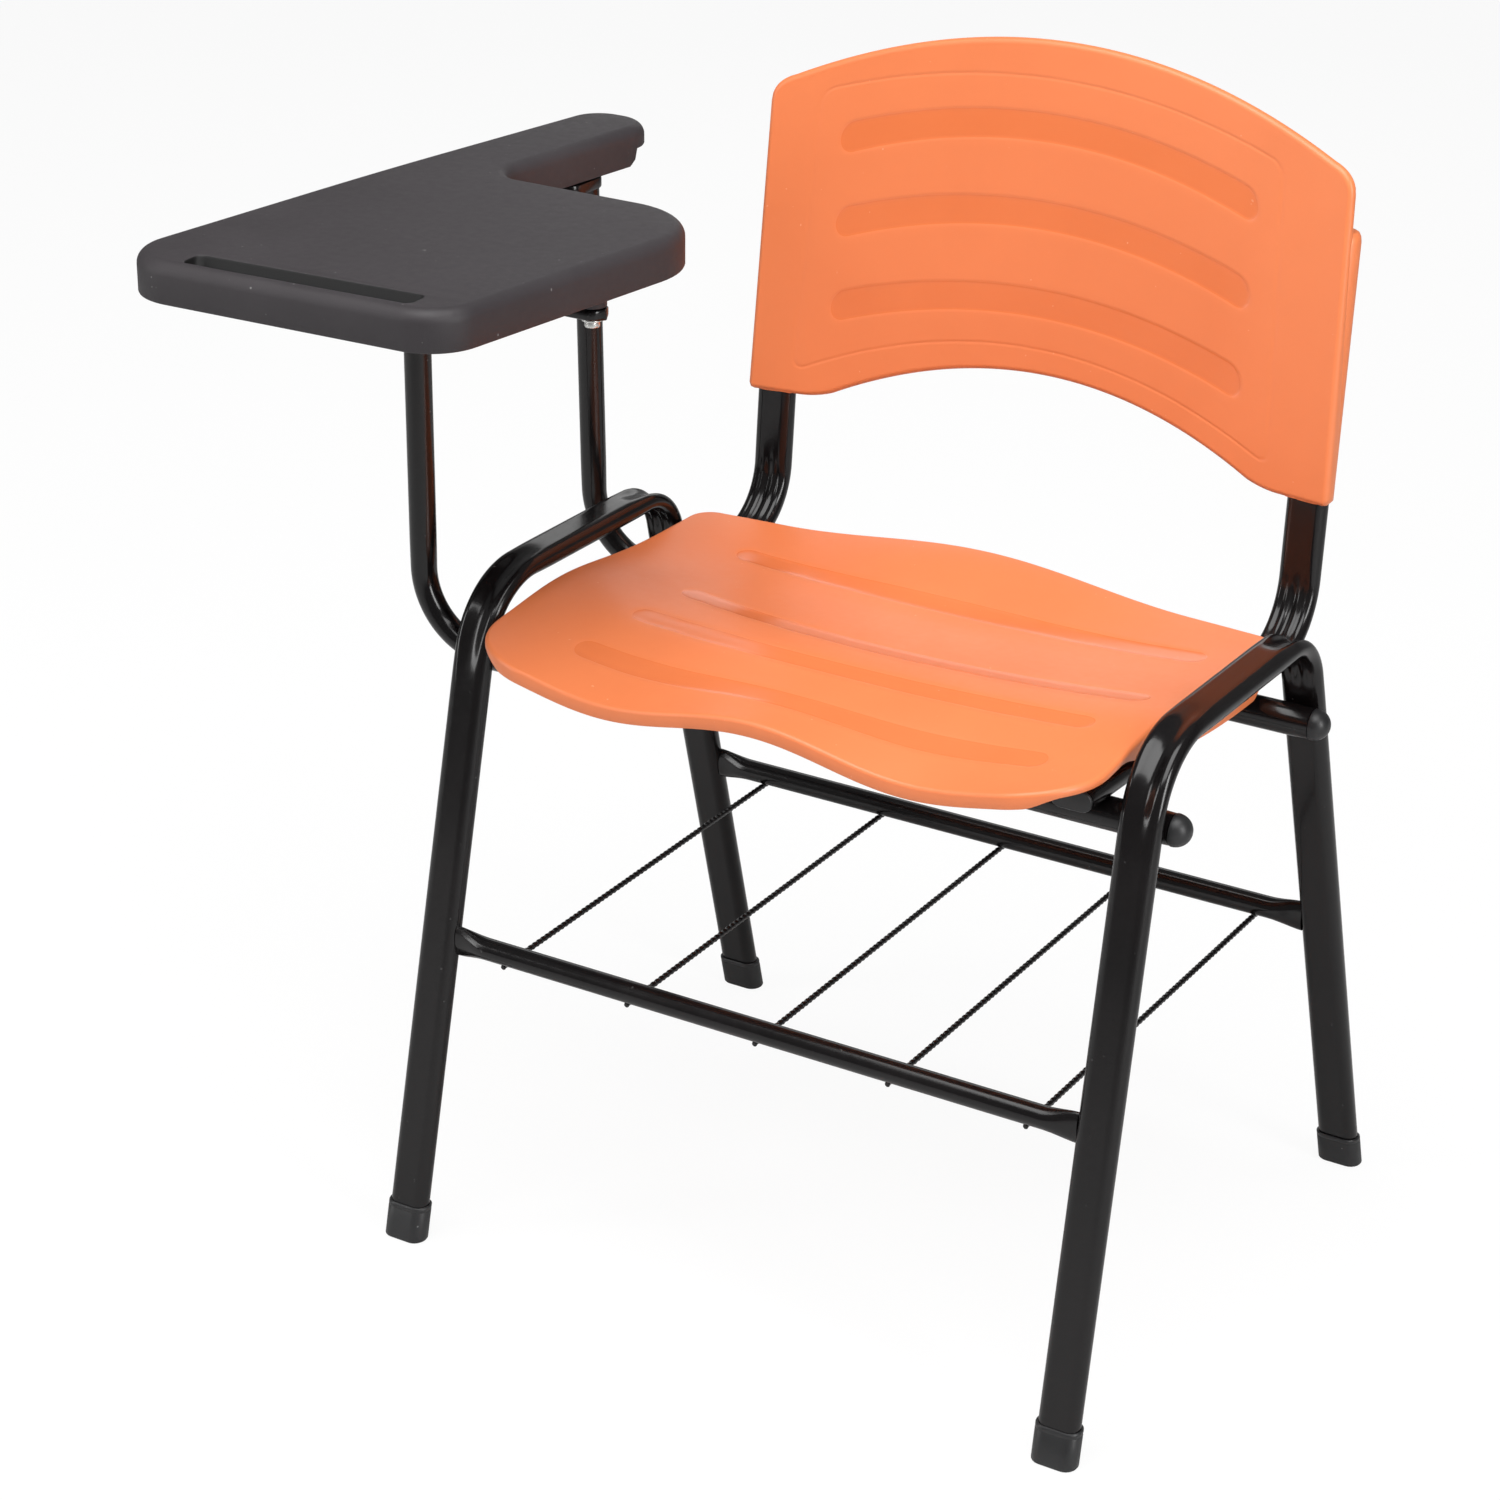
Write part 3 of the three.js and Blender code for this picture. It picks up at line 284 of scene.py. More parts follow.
def oval(wide, thin, count=14):
    """A flat oval: the flats are cut fine enough to carry creases."""
    radius, reach = thin / 2, (wide - thin) / 2
    flat = np.linspace(-reach, reach, count)
    arc = np.linspace(-math.pi / 2, math.pi / 2, count)[1:-1]
    right = [(reach + radius * math.cos(a), radius * math.sin(a)) for a in arc]
    leftward = [(-x, -y) for x, y in right]
    return np.array([(x, -radius) for x in flat] + right
                    + [(x, radius) for x in flat[::-1]] + leftward)


def creased(base, inside, groove, crease, flatten=0.0):
    """Sections that dish on the outside of a bend and fold on the inside of it."""
    edge = np.abs(base[:, 0]) / np.abs(base[:, 0]).max()
    depth = np.abs(base[:, 1]) / np.abs(base[:, 1]).max()
    out = (base[:, 1] * inside < 0) * depth ** 2
    ins = (base[:, 1] * inside > 0) * depth ** 2
    valley = (1 - smooth(0.05, 0.78, edge))
    fold = (1 - smooth(0.35, 0.8, edge)) * (0.55 + 0.45 * np.cos(base[:, 0] * 2 * math.pi / 9.0))

    def section(_, __, bend):
        rows = base.copy()
        rows[:, 1] *= 1 - flatten * bend
        rows[:, 1] += inside * groove * bend * valley * out
        rows[:, 1] -= inside * crease * bend ** 2 * fold * ins
        return rows
    return section


def circle(radius, count=32):
    turn = np.linspace(0, 2 * math.pi, count, endpoint=False)
    return np.stack([np.cos(turn), np.sin(turn)], 1) * radius


def turned(profile, origin, axis, count=40, shape=None):
    """A closed turned piece from (radius, distance) rows; a radius of 0 closes it."""
    shape = shape or Shape()
    axis = Vector(axis).normalized()
    turn = Vector((0, 0, 1)).rotation_difference(axis).to_matrix()
    ring = circle(1.0, count)
    rings = []
    for radius, along in profile:
        rings.append(shape.add([np.array(origin) + np.array(turn @ Vector((a * radius, b * radius, along)))
                                for a, b in ring]))
    shape.bridge_all(rings)
    shape.fan(rings[0])
    shape.fan(rings[-1])
    return shape


def eased(profile, radius=0.5, steps=3):
    """Rounds the corners of a turned profile."""
    points = [np.array(p, float) for p in profile]
    out = [points[0]]
    for before, at, after in zip(points, points[1:], points[2:]):
        a, b = before - at, after - at
        reach = min(radius, np.linalg.norm(a) / 2.1, np.linalg.norm(b) / 2.1)
        a, b = at + a / np.linalg.norm(a) * reach, at + b / np.linalg.norm(b) * reach
        for k in range(steps + 1):
            t = k / steps
            out.append(a * (1 - t) ** 2 + 2 * at * t * (1 - t) + b * t * t)
    return [tuple(p) for p in out + [points[-1]]]


# ------------------------------------------------------------------ shared node groups

def link(tree, a, b):
    tree.links.new(a, b)


def new_group(name, inputs, outputs):
    group = bpy.data.node_groups.new(name, "ShaderNodeTree")
    for title, kind, value in inputs:
        socket = group.interface.new_socket(title, in_out="INPUT", socket_type=kind)
        if value is not None:
            socket.default_value = value
    for title, kind in outputs:
        group.interface.new_socket(title, in_out="OUTPUT", socket_type=kind)
    return group, group.nodes.new("NodeGroupInput"), group.nodes.new("NodeGroupOutput")


def node(tree, kind, values=(), **settings):
    made = tree.nodes.new(kind)
    for key, value in settings.items():
        setattr(made, key, value)
    for key, value in dict(values).items():
        made.inputs[key].default_value = value
    return made


def maths(tree, operation, a, b=None, clamp=False):
    made = node(tree, "ShaderNodeMath", operation=operation, use_clamp=clamp)
    for i, value in enumerate((a, b)):
        if value is None:
            continue
        if isinstance(value, (int, float)):
            made.inputs[i].default_value = value
        else:
            link(tree, value, made.inputs[i])
    return made.outputs[0]


def noise(tree, coords, scale, detail=3.0, rough=0.5, distortion=0.0):
    made = node(tree, "ShaderNodeTexNoise", {"Detail": detail, "Roughness": rough,
                                            "Distortion": distortion})
    if isinstance(scale, (int, float)):
        made.inputs["Scale"].default_value = scale
    else:
        link(tree, scale, made.inputs["Scale"])
    link(tree, coords, made.inputs["Vector"])
    return made.outputs["Fac"]


def remap(tree, value, low, high, to_low=0.0, to_high=1.0):
    made = node(tree, "ShaderNodeMapRange", {"From Min": low, "From Max": high,
                                            "To Min": to_low, "To Max": to_high})
    link(tree, value, made.inputs["Value"])
    return made.outputs["Result"]


def skin_group():
    """Fine moulded or sprayed texture: a cloudy tone mask and a height."""
    group, enter, leave = new_group("surface_skin", [
        ("Fine Scale", "NodeSocketFloat", 900.0), ("Broad Scale", "NodeSocketFloat", 14.0),
        ("Fine Share", "NodeSocketFloat", 0.6)],
        [("Tone", "NodeSocketFloat"), ("Height", "NodeSocketFloat"), ("Rough", "NodeSocketFloat")])
    coords = node(group, "ShaderNodeTexCoord").outputs["Object"]
    broad = noise(group, coords, enter.outputs["Broad Scale"], 4.0, 0.55, 0.4)
    fine = noise(group, coords, enter.outputs["Fine Scale"], 2.0, 0.6)
    mid = noise(group, coords, 160.0, 3.0, 0.6)
    link(group, remap(group, broad, 0.3, 0.7), leave.inputs["Tone"])
    share = maths(group, "MULTIPLY", fine, enter.outputs["Fine Share"])
    rest = maths(group, "MULTIPLY", mid, maths(group, "SUBTRACT", 1.0, enter.outputs["Fine Share"]))
    link(group, maths(group, "ADD", share, rest), leave.inputs["Height"])
    link(group, remap(group, maths(group, "ADD", maths(group, "MULTIPLY", broad, 0.6),
                                   maths(group, "MULTIPLY", mid, 0.4)), 0.35, 0.65), leave.inputs["Rough"])
    return group


def wear_group():
    """Specks of dust and hairline scratches, each as a mask."""
    group, enter, leave = new_group("light_wear", [
        ("Speck Scale", "NodeSocketFloat", 260.0), ("Speck Limit", "NodeSocketFloat", 0.78)],
        [("Specks", "NodeSocketFloat"), ("Scratches", "NodeSocketFloat")])
    coords = node(group, "ShaderNodeTexCoord").outputs["Object"]
    specks = noise(group, coords, enter.outputs["Speck Scale"], 1.0, 0.4)
    over = maths(group, "SUBTRACT", specks, enter.outputs["Speck Limit"])
    link(group, maths(group, "MULTIPLY", over, 30.0, clamp=True), leave.inputs["Specks"])
    lines = None
    for turn, stretch in ((0.5, 9.0), (2.1, 14.0), (-0.7, 11.0)):
        spin = node(group, "ShaderNodeMapping")
        spin.inputs["Rotation"].default_value = (0.3, 0.2, turn)
        spin.inputs["Scale"].default_value = (stretch * 12, 8.0, 40.0)
        link(group, coords, spin.inputs["Vector"])
        streak = noise(group, spin.outputs["Vector"], 4.0, 2.0, 0.5)
        line = remap(group, maths(group, "ABSOLUTE", maths(group, "SUBTRACT", streak, 0.5)),
                     0.0, 0.004, 1.0, 0.0)
        patch = remap(group, noise(group, spin.outputs["Vector"], 0.6, 1.0), 0.6, 0.68)
        line = maths(group, "MULTIPLY", line, patch)
        lines = line if lines is None else maths(group, "MAXIMUM", lines, line)
    link(group, lines, leave.inputs["Scratches"])
    return group


SKIN, WEAR = skin_group(), wear_group()


def material(name, slot, color, tone_color, roughness, rough_spread, bump, fine_scale,
             broad_scale=14.0, metallic=0.0, coat=0.0, speck=0.0, speck_color=(0.7, 0.7, 0.7, 1),
             speck_limit=0.78, scratch=0.1, coat_rough=0.08, fine_share=0.6, distance=0.0004,
             specular=0.5, polish_and_shade=None, painted_shade_tint=(0.96, 0.90, 0.84)):
    made = bpy.data.materials.new(name)
    made.use_nodes = True
    tree = made.node_tree
    shader = tree.nodes["Principled BSDF"]
    skin = node(tree, "ShaderNodeGroup", node_tree=SKIN)
    skin.inputs["Fine Scale"].default_value = fine_scale
    skin.inputs["Broad Scale"].default_value = broad_scale
    skin.inputs["Fine Share"].default_value = fine_share
    wear = node(tree, "ShaderNodeGroup", node_tree=WEAR)
    wear.inputs["Speck Limit"].default_value = speck_limit
    mix = node(tree, "ShaderNodeMix", data_type="RGBA")
    mix.inputs["A"].default_value = (*color, 1)
    mix.inputs["B"].default_value = (*tone_color, 1)
    link(tree, skin.outputs["Tone"], mix.inputs["Factor"])
    dusty = node(tree, "ShaderNodeMix", data_type="RGBA")
    link(tree, mix.outputs["Result"], dusty.inputs["A"])
    dusty.inputs["B"].default_value = speck_color
    link(tree, maths(tree, "MULTIPLY", wear.outputs["Specks"], speck), dusty.inputs["Factor"])
    link(tree, dusty.outputs["Result"], shader.inputs["Base Color"])
    rough = remap(tree, skin.outputs["Rough"], 0, 1, roughness - rough_spread, roughness + rough_spread)
    rough = maths(tree, "ADD", rough, maths(tree, "MULTIPLY", wear.outputs["Scratches"], scratch),
                  clamp=True)
    bump_share = None
    if polish_and_shade:
        polish_and_shade_area = node(tree, "ShaderNodeAttribute", attribute_name="polish_and_shade").outputs["Fac"]
        inside = remap(tree, polish_and_shade_area, 0.42, 0.58)
        bump_share = maths(tree, "SUBTRACT", 1.0, maths(tree, "MULTIPLY", inside, 0.85))
        blend = node(tree, "ShaderNodeMix", data_type="FLOAT")
        link(tree, inside, blend.inputs["Factor"])
        link(tree, rough, blend.inputs["A"])
        blend.inputs["B"].default_value = polish_and_shade
        rough = blend.outputs["Result"]
        # Multiplies the colour inside the mask by the tint: painted shade in the tablet groove, a painted
        # darker reflection tone on the orange bands.
        deep = node(tree, "ShaderNodeMix", data_type="RGBA", blend_type="MULTIPLY")
        link(tree, inside, deep.inputs["Factor"])
        link(tree, dusty.outputs["Result"], deep.inputs["A"])
        deep.inputs["B"].default_value = (*painted_shade_tint, 1)
        link(tree, deep.outputs["Result"], shader.inputs["Base Color"])
    link(tree, rough, shader.inputs["Roughness"])
    shader.inputs["Specular IOR Level"].default_value = specular
    shader.inputs["Metallic"].default_value = metallic
    shader.inputs["Coat Weight"].default_value = coat
    shader.inputs["Coat Roughness"].default_value = coat_rough
    height = maths(tree, "SUBTRACT", skin.outputs["Height"],
                   maths(tree, "MULTIPLY", wear.outputs["Scratches"], 0.25))
    bumped = node(tree, "ShaderNodeBump", {"Strength": bump, "Distance": distance})
    if bump_share is not None:
        height = maths(tree, "MULTIPLY", height, bump_share)
    link(tree, height, bumped.inputs["Height"])
    link(tree, bumped.outputs["Normal"], shader.inputs["Normal"])
    return made


BLACK = material("black_paint_coat", "black_paint", (0.0035, 0.0030, 0.0032), (0.0060, 0.0048, 0.0050),
                 0.19, 0.05, 0.05, 700.0, 9.0, coat=0.10, speck=0.2, speck_color=(0.2, 0.2, 0.2, 1),
                 coat_rough=0.05, specular=0.33)
# Its bands get a darker, deeper tint as well as lower roughness; the tint is a painted darker reflection
# tone.
ORANGE = material("orange_shell", "orange_plastic", (0.77, 0.212, 0.074), (0.73, 0.192, 0.064),
                  0.40, 0.04, 0.07, 1100.0, 7.0, coat=0.0, speck=0.35,
                  speck_color=(0.95, 0.62, 0.42, 1), speck_limit=0.80, polish_and_shade=0.22)
# Inside the tablet groove this colour is multiplied by 0.06 as painted shade in the recess, with roughness
# 0.6 there.
CHARCOAL = material("charcoal_board", "charcoal_plastic", (0.0275, 0.0235, 0.0262),
                    (0.0345, 0.0300, 0.0330), 0.56, 0.06, 0.30, 1500.0, 11.0, speck=0.5,
                    speck_color=(0.30, 0.29, 0.29, 1), speck_limit=0.785, fine_share=0.8,
                    specular=0.4, polish_and_shade=0.6, painted_shade_tint=(0.06, 0.06, 0.06))
CAP = material("black_cap_plastic", "black_plastic", (0.012, 0.012, 0.0125), (0.018, 0.018, 0.019),
               0.42, 0.06, 0.12, 1300.0, speck=0.2, specular=0.45)
ZINC = material("zinc_fastener", "zinc_steel", (0.72, 0.71, 0.68), (0.60, 0.60, 0.58),
                0.24, 0.08, 0.08, 2200.0, 60.0, metallic=1.0)

# ------------------------------------------------------------------ side frames, caps

TUBE_ACROSS = (1, 0, 0)


def side_frame(side, hand):
    points = [[side * frame_x(LEG_BOTTOM_Z), front_leg_y(LEG_BOTTOM_Z), LEG_BOTTOM_Z],
              [side * frame_x(FRAME_TOP_Z), front_leg_y(FRAME_TOP_Z), FRAME_TOP_Z],
              [side * frame_x(FRAME_TOP_Z), rear_leg_y(FRAME_TOP_Z), FRAME_TOP_Z],
              [side * frame_x(LEG_BOTTOM_Z), rear_leg_y(LEG_BOTTOM_Z), LEG_BOTTOM_Z]]
    path = bent_path(points, [FRONT_BEND_R, REAR_BEND_R])
    shape = sweep(path, TUBE_ACROSS, creased(oval(OVAL_WIDE, OVAL_THIN, 18), 1, 3.3, 2.2, 0.12), OVAL_WALL)
    shape.make(f"frame_tube_{hand}", BLACK, "frame", [f"side_frame_{hand}"])


def foot_cap(side, foot_y, slope, node_name):
    outline = oval(OVAL_WIDE, OVAL_THIN, 12)

    def ring(z, grow):
        scale = np.array([(OVAL_WIDE + 2 * grow) / OVAL_WIDE, (OVAL_THIN + 2 * grow) / OVAL_THIN])
        rows = outline * scale
        lean = math.hypot(1, slope)
        return shape.add([(side * frame_x(z) + x, foot_y + slope * z + y * lean, z) for x, y in rows])

    shape = Shape()
    levels = [(0, 0.4), (0.4, 1.1), (1.2, CAP_GROW), (6, CAP_GROW), (CAP_HEIGHT - 4.2, CAP_GROW),
              (CAP_HEIGHT - 3.8, CAP_GROW - 0.25), (CAP_HEIGHT - 3.2, CAP_GROW - 0.25),
              (CAP_HEIGHT - 2.8, CAP_GROW), (CAP_HEIGHT - 0.7, CAP_GROW),
              (CAP_HEIGHT, CAP_GROW - 0.6), (CAP_HEIGHT, 0.15), (CAP_HEIGHT - 1, 0.1), (CAP_FLOOR, 0.1)]
    rings = [ring(z, grow) for z, grow in levels]
    shape.bridge_all(rings)
    shape.fan(rings[0])
    shape.fan(rings[-1])
    shape.make(f"{node_name}_shell", CAP, "frame", [node_name])


# ------------------------------------------------------------------ bars, rods, cross tubes

def lower_bar(leg_y, z, name):
    half = frame_x(z) - OVAL_WIDE / 2 + 0.5
    xs = np.concatenate([np.linspace(-half, -half + BAR_END_LENGTH, 16),
                         np.linspace(-half + BAR_END_LENGTH, half - BAR_END_LENGTH, 24)[1:-1],
                         np.linspace(half - BAR_END_LENGTH, half, 16)])
    y = leg_y(z)
    base = circle(BAR_R)

    def section(start, end, _):
        press = smooth(0, 1, 1 - min(start, end) / BAR_END_LENGTH) if min(start, end) < BAR_END_LENGTH else 0
        rows = base.copy()
        rows[:, 0] *= 1 + press * (BAR_END_THICK / 2 / BAR_R - 1)
        rows[:, 1] *= 1 + press * (BAR_END_TALL / 2 / BAR_R - 1)
        return rows

    path = [(np.array([x, y, z]), np.array([1.0, 0, 0]), 0) for x in xs]
    sweep(path, (0, 1, 0), section, BAR_WALL).make(f"{name}_tube", BLACK, "frame", [name])


def rack_rod(index):
    x = (index - (ROD_COUNT - 1) / 2) * ROD_PITCH
    drop = BAR_R + 0.3 + ROD_R
    start = np.array([x, front_leg_y(FRONT_BAR_Z) - 1, FRONT_BAR_Z - drop])
    end = np.array([x, rear_leg_y(REAR_BAR_Z) + BAR_R, REAR_BAR_Z - drop])
    length = float(np.linalg.norm(end - start))
    count = int(length / 0.75)
    direction = (end - start) / length
    ring = circle(1.0, 14)
    turn = np.arctan2(ring[:, 1], ring[:, 0])

    def section(s, rest, _):
        wave = np.cos(2 * math.pi * (s / 5.2 + turn / (2 * math.pi)))
        rib = np.clip((wave - 0.25) / 0.35, 0, 1) * np.abs(np.sin(turn)) ** 0.4
        ease = min(1.0, s / 0.8, rest / 0.8) * 0.25 + 0.75
        return ring * ((ROD_R - 0.42 + 0.42 * rib) * ease)[:, None]

    shape = Shape()
    rings = []
    for k in range(count + 1):
        s = length * k / count
        at = start + direction * s
        rings.append(shape.add([at + np.array([a, 0, b]) for a, b in section(s, length - s, 0)]))
    shape.bridge_all(rings)
    shape.fan(rings[0])
    shape.fan(rings[-1])
    shape.make(f"ribbed_rod_{index + 1}", BLACK, "frame", [f"rack_rod_{index + 1}"], sharp=60)


def cross_tube(place_yz, end):
    y, z = place_yz
    path = bent_path([[CROSS_RIGHT_X, y, z], [CROSS_LEFT_X, y, z]], [])
    edge = lambda s, rest, _: circle(CROSS_R - 0.35 * (1 - min(1, s / 0.6, rest / 0.6)))
    path = path[:1] + [(path[0][0] + np.array([0.6, 0, 0]), path[0][1], 0)] + path[1:]
    pipe = sweep(path, (0, 1, 0), edge, CROSS_WALL)
    pipe.make(f"{end}_cross_pipe", BLACK, "frame", [f"{end}_cross_tube"])
    dome = [(0.01, -13.5), (CROSS_R - 1.9, -13.5), (CROSS_R - 1.5, 0.1), (CROSS_R - 0.35, 0.35),
            (CROSS_R, 0.8)]
    for k in range(1, 15):
        angle = math.pi / 2 * k / 14
        dome.append((max(0.01, CROSS_R * math.cos(angle) ** 0.92),
                     0.8 + (PLUG_DOME - 0.5) * math.sin(angle)))
    plug = turned(dome, (CROSS_LEFT_X, y, z), (1, 0, 0))
    plug.make(f"{end}_dome_plug", CAP, "frame", [f"{end}_cross_plug"])


# ------------------------------------------------------------------ rails and uprights

def back_upright(side, hand):
    x = side * RAIL_X
    corner_z = ((rail_z(UPRIGHT_Y) - RAIL_SLOPE * UPRIGHT_LEAN * UPRIGHT_REF_Z)
                / (1 - RAIL_SLOPE * UPRIGHT_LEAN))
    path = bent_path([[x, RAIL_FRONT_Y, rail_z(RAIL_FRONT_Y)], [x, upright_y(corner_z), corner_z],
                      [x, upright_y(UPRIGHT_TOP_Z), UPRIGHT_TOP_Z]], [UPRIGHT_BEND_R])
    shape = sweep(path, TUBE_ACROSS, creased(oval(OVAL_WIDE, OVAL_THIN, 18), -1, 1.6, 2.4, 0.08), OVAL_WALL)
    shape.make(f"upright_tube_{hand}", BLACK, "frame", [f"back_upright_{hand}"])
    plug = Shape()
    outline = oval(OVAL_WIDE, OVAL_THIN, 10)
    rings = []
    for back, grow in ((2.8, -1.4), (2.6, -0.5), (1.9, 0), (0.7, 0), (0.2, -0.3), (0.2, -1.7), (-11, -1.9)):
        y = RAIL_FRONT_Y - back
        scale = np.array([(OVAL_WIDE + 2 * grow) / OVAL_WIDE, (OVAL_THIN + 2 * grow) / OVAL_THIN])
        rings.append(plug.add([(x + a, y, rail_z(y) + b) for a, b in outline * scale]))
    plug.bridge_all(rings)
    plug.fan(rings[0])
    plug.fan(rings[-1])
    plug.make(f"rail_end_plug_{hand}", CAP, "frame", [f"rail_plug_{hand}"])


# ------------------------------------------------------------------ moulded shells

def shell(top, bottom, columns, rows, rim, name, material_, nodes, polish_and_shade=None, shape=None):
    """A skin between two grids: top(u, v), bottom(u, v), and rim(u, v, k) rings between them."""
    shape = shape or Shape()
    us = np.array(columns)
    vs = np.array(rows)

    def grid(surface):
        return [shape.add([surface(u, v) for u in us]) for v in vs]

    upper, lower = grid(top), grid(bottom)
    shape.bridge_all(upper, closed=False)
    shape.bridge_all(lower, closed=False)
    loop = ([(j, 0) for j in range(len(us))] + [(len(us) - 1, i) for i in range(1, len(vs))]
            + [(j, len(vs) - 1) for j in range(len(us) - 2, -1, -1)]
            + [(0, i) for i in range(len(vs) - 2, 0, -1)])
    edge = [upper[i][j] for j, i in loop]
    under = [lower[i][j] for j, i in loop]
    rings = [edge] + [shape.add(ring) for ring in rim([(us[j], vs[i]) for j, i in loop])] + [under]
    shape.bridge_all(rings)
    return shape.make(name, material_, "frame", nodes, sharp=50, polish_and_shade=polish_and_shade)


def eased_steps(count, share=0.85):
    t = np.linspace(-1, 1, count)
    return (1 - share) * t + share * np.sin(t * math.pi / 2)


def outward(points):
    """Unit normals of a closed loop of plan points, pointing out."""
    points = np.asarray(points)
    tangent = np.roll(points, -1, 0) - np.roll(points, 1, 0)
    normal = np.stack([tangent[:, 1], -tangent[:, 0]], 1)
    normal /= np.maximum(1e-9, np.linalg.norm(normal, axis=1))[:, None]
    area = np.sum(points[:, 0] * np.roll(points[:, 1], -1) - np.roll(points[:, 0], -1) * points[:, 1])
    return normal * np.sign(area)


def seat_top(x, y):
    across = 1 - (x / SEAT_HALF_WIDTH) ** 2
    side = SEAT_Z + 9.5 * math.exp(-(((y - 38) / 70) ** 2))
    dish = 8 * smooth(-20, 80, y) * (1 - smooth(150, 240, y))
    rise = 12 * math.cos(math.pi / 2 * min(1, abs(x) / 165)) ** 2 * smooth(130, 235, y)
    drop = max(0, (20 - y) / 110)
    thigh = math.sin(math.pi * x / SEAT_HALF_WIDTH) ** 2
    return side + rise - across * dish - (0.5 + 16 * thigh) * drop ** 2


SEAT_BANDS = [(170, 17, 186, 6), (74, 27, 181, 16), (14, 21, 177, 9), (-41, 13, 180, 8)]
SEAT_BAND_HALF = 9.5


def seat_band(x, y):
    """How far a place is from the nearest band's edge, below 0 inside it."""
    gaps = []
    for line, centre, reach, sag in SEAT_BANDS:
        along = x - centre
        middle = line - sag * (1 - (along / reach) ** 2)
        gaps.append(math.hypot(max(0.0, abs(along) - reach + SEAT_BAND_HALF), y - middle) - SEAT_BAND_HALF)
    return min(gaps)


def seat_relief(x, y):
    return -0.6 * float(1 - smooth(-1.7, 1.8, seat_band(x, y)))


def seat_lip(x, y):
    share = abs(x) / SEAT_HALF_WIDTH
    along = smooth(-20, 60, y) * (1 - smooth(SEAT_REAR_Y - 42, SEAT_REAR_Y - 14, y))
    corner = smooth(0.86, 0.95, share) * (1 - smooth(-20, 20, y))
    return SEAT_LIP + (SEAT_SIDE_LIP - SEAT_LIP) * smooth(0.9, 0.97, share) * along \
        - (SEAT_LIP - SEAT_CORNER_LIP) * corner


def seat_plan(u, v, inset=0.0):
    wide = SEAT_HALF_WIDTH - inset
    x = u * wide

    def corner(radius):
        radius = max(2, radius - inset)
        over = max(0.0, abs(x) - (wide - radius))
        return radius - math.sqrt(max(0.0, radius * radius - over * over))

    front = SEAT_FRONT_Y + inset + 2 * (x / wide) ** 2 + corner(SEAT_FRONT_R)
    rear = SEAT_REAR_Y - inset + SEAT_REAR_BOW * (1 - (x / wide) ** 2) - corner(SEAT_REAR_R)
    return x, front + (v + 1) / 2 * (rear - front)


def seat():
    roll = 3.2

    def top(u, v):
        x, y = seat_plan(u, v, roll)
        return x, y, seat_top(x, y) + seat_relief(x, y)

    def bottom(u, v):
        x, y = seat_plan(u, v, roll + 1)
        return x, y, seat_top(x, y) - SEAT_WALL

    def rim(loop):
        base = np.array([seat_plan(u, v, roll) for u, v in loop])
        out = outward(base)
        steps = [(roll * math.sin(a), roll * (1 - math.cos(a))) for a in np.linspace(0.2, math.pi / 2, 7)]
        rings = []
        for grow, drop in steps:
            spot = base + out * grow
            rings.append([(x, y, seat_top(bx, by) - drop) for (x, y), (bx, by) in zip(spot, base)])
        for grow, share in ((roll, 0.5), (roll, 0.93), (roll - 0.3, 0.985), (roll - 1.2, 1),
                            (roll - 2.2, 0.99), (roll - 2.8, 0.93), (roll - 3.0, 0.6)):
            spot = base + out * grow
            rings.append([(x, y, seat_top(bx, by) - max(roll, seat_lip(bx * 1.02, by) * share))
                          for (x, y), (bx, by) in zip(spot, base)])
        rings.append([(x, y, seat_top(bx, by) - SEAT_WALL - 1.2) for (x, y), (bx, by)
                      in zip(base + out * (roll - 3.6), base)])
        return rings

    # The band mask makes the seat's bands glossier and tints them darker; the tint is a painted reflection
    # tone.
    shell(top, bottom, eased_steps(191), eased_steps(121), rim, "seat_moulding", ORANGE, ["seat_shell"],
          lambda x, y, z: 0.5 - seat_band(x, y) / 8)
    for side in (-1, 1):
        for y in (30, 165):
            foot = rail_z(y) + OVAL_THIN / 2 + 0.4
            high = seat_top(side * RAIL_X, y) - SEAT_WALL + 1 - foot
            boss = turned(eased([(0.01, 0), (8, 0), (8, high), (0.01, high)]),
                          (side * RAIL_X, y, foot), (0, 0, 1))
            row, hand = "front" if y < 100 else "rear", "left" if side > 0 else "right"
            boss.make(f"seat_boss_{row}_{hand}", ORANGE, "frame")


def back_y(x, z):
    return (BACK_FACE_Y + UPRIGHT_LEAN * (z - BACK_REF_Z)
            - BACK_CURVE * ((x / BACK_HALF_WIDTH) ** 2))


def back_low(x):
    x = abs(x)
    if x <= BACK_ARCH_X:
        return BACK_ARCH_TOP_Z - (BACK_ARCH_TOP_Z - BACK_ARCH_FOOT_Z) * (x / BACK_ARCH_X) ** 2
    if x < BACK_ARCH_END_X:
        t = (x - BACK_ARCH_X) / (BACK_ARCH_END_X - BACK_ARCH_X)
        return BACK_BOTTOM_Z + (BACK_ARCH_FOOT_Z - BACK_BOTTOM_Z) * (1 - t) ** 2
    return BACK_BOTTOM_Z


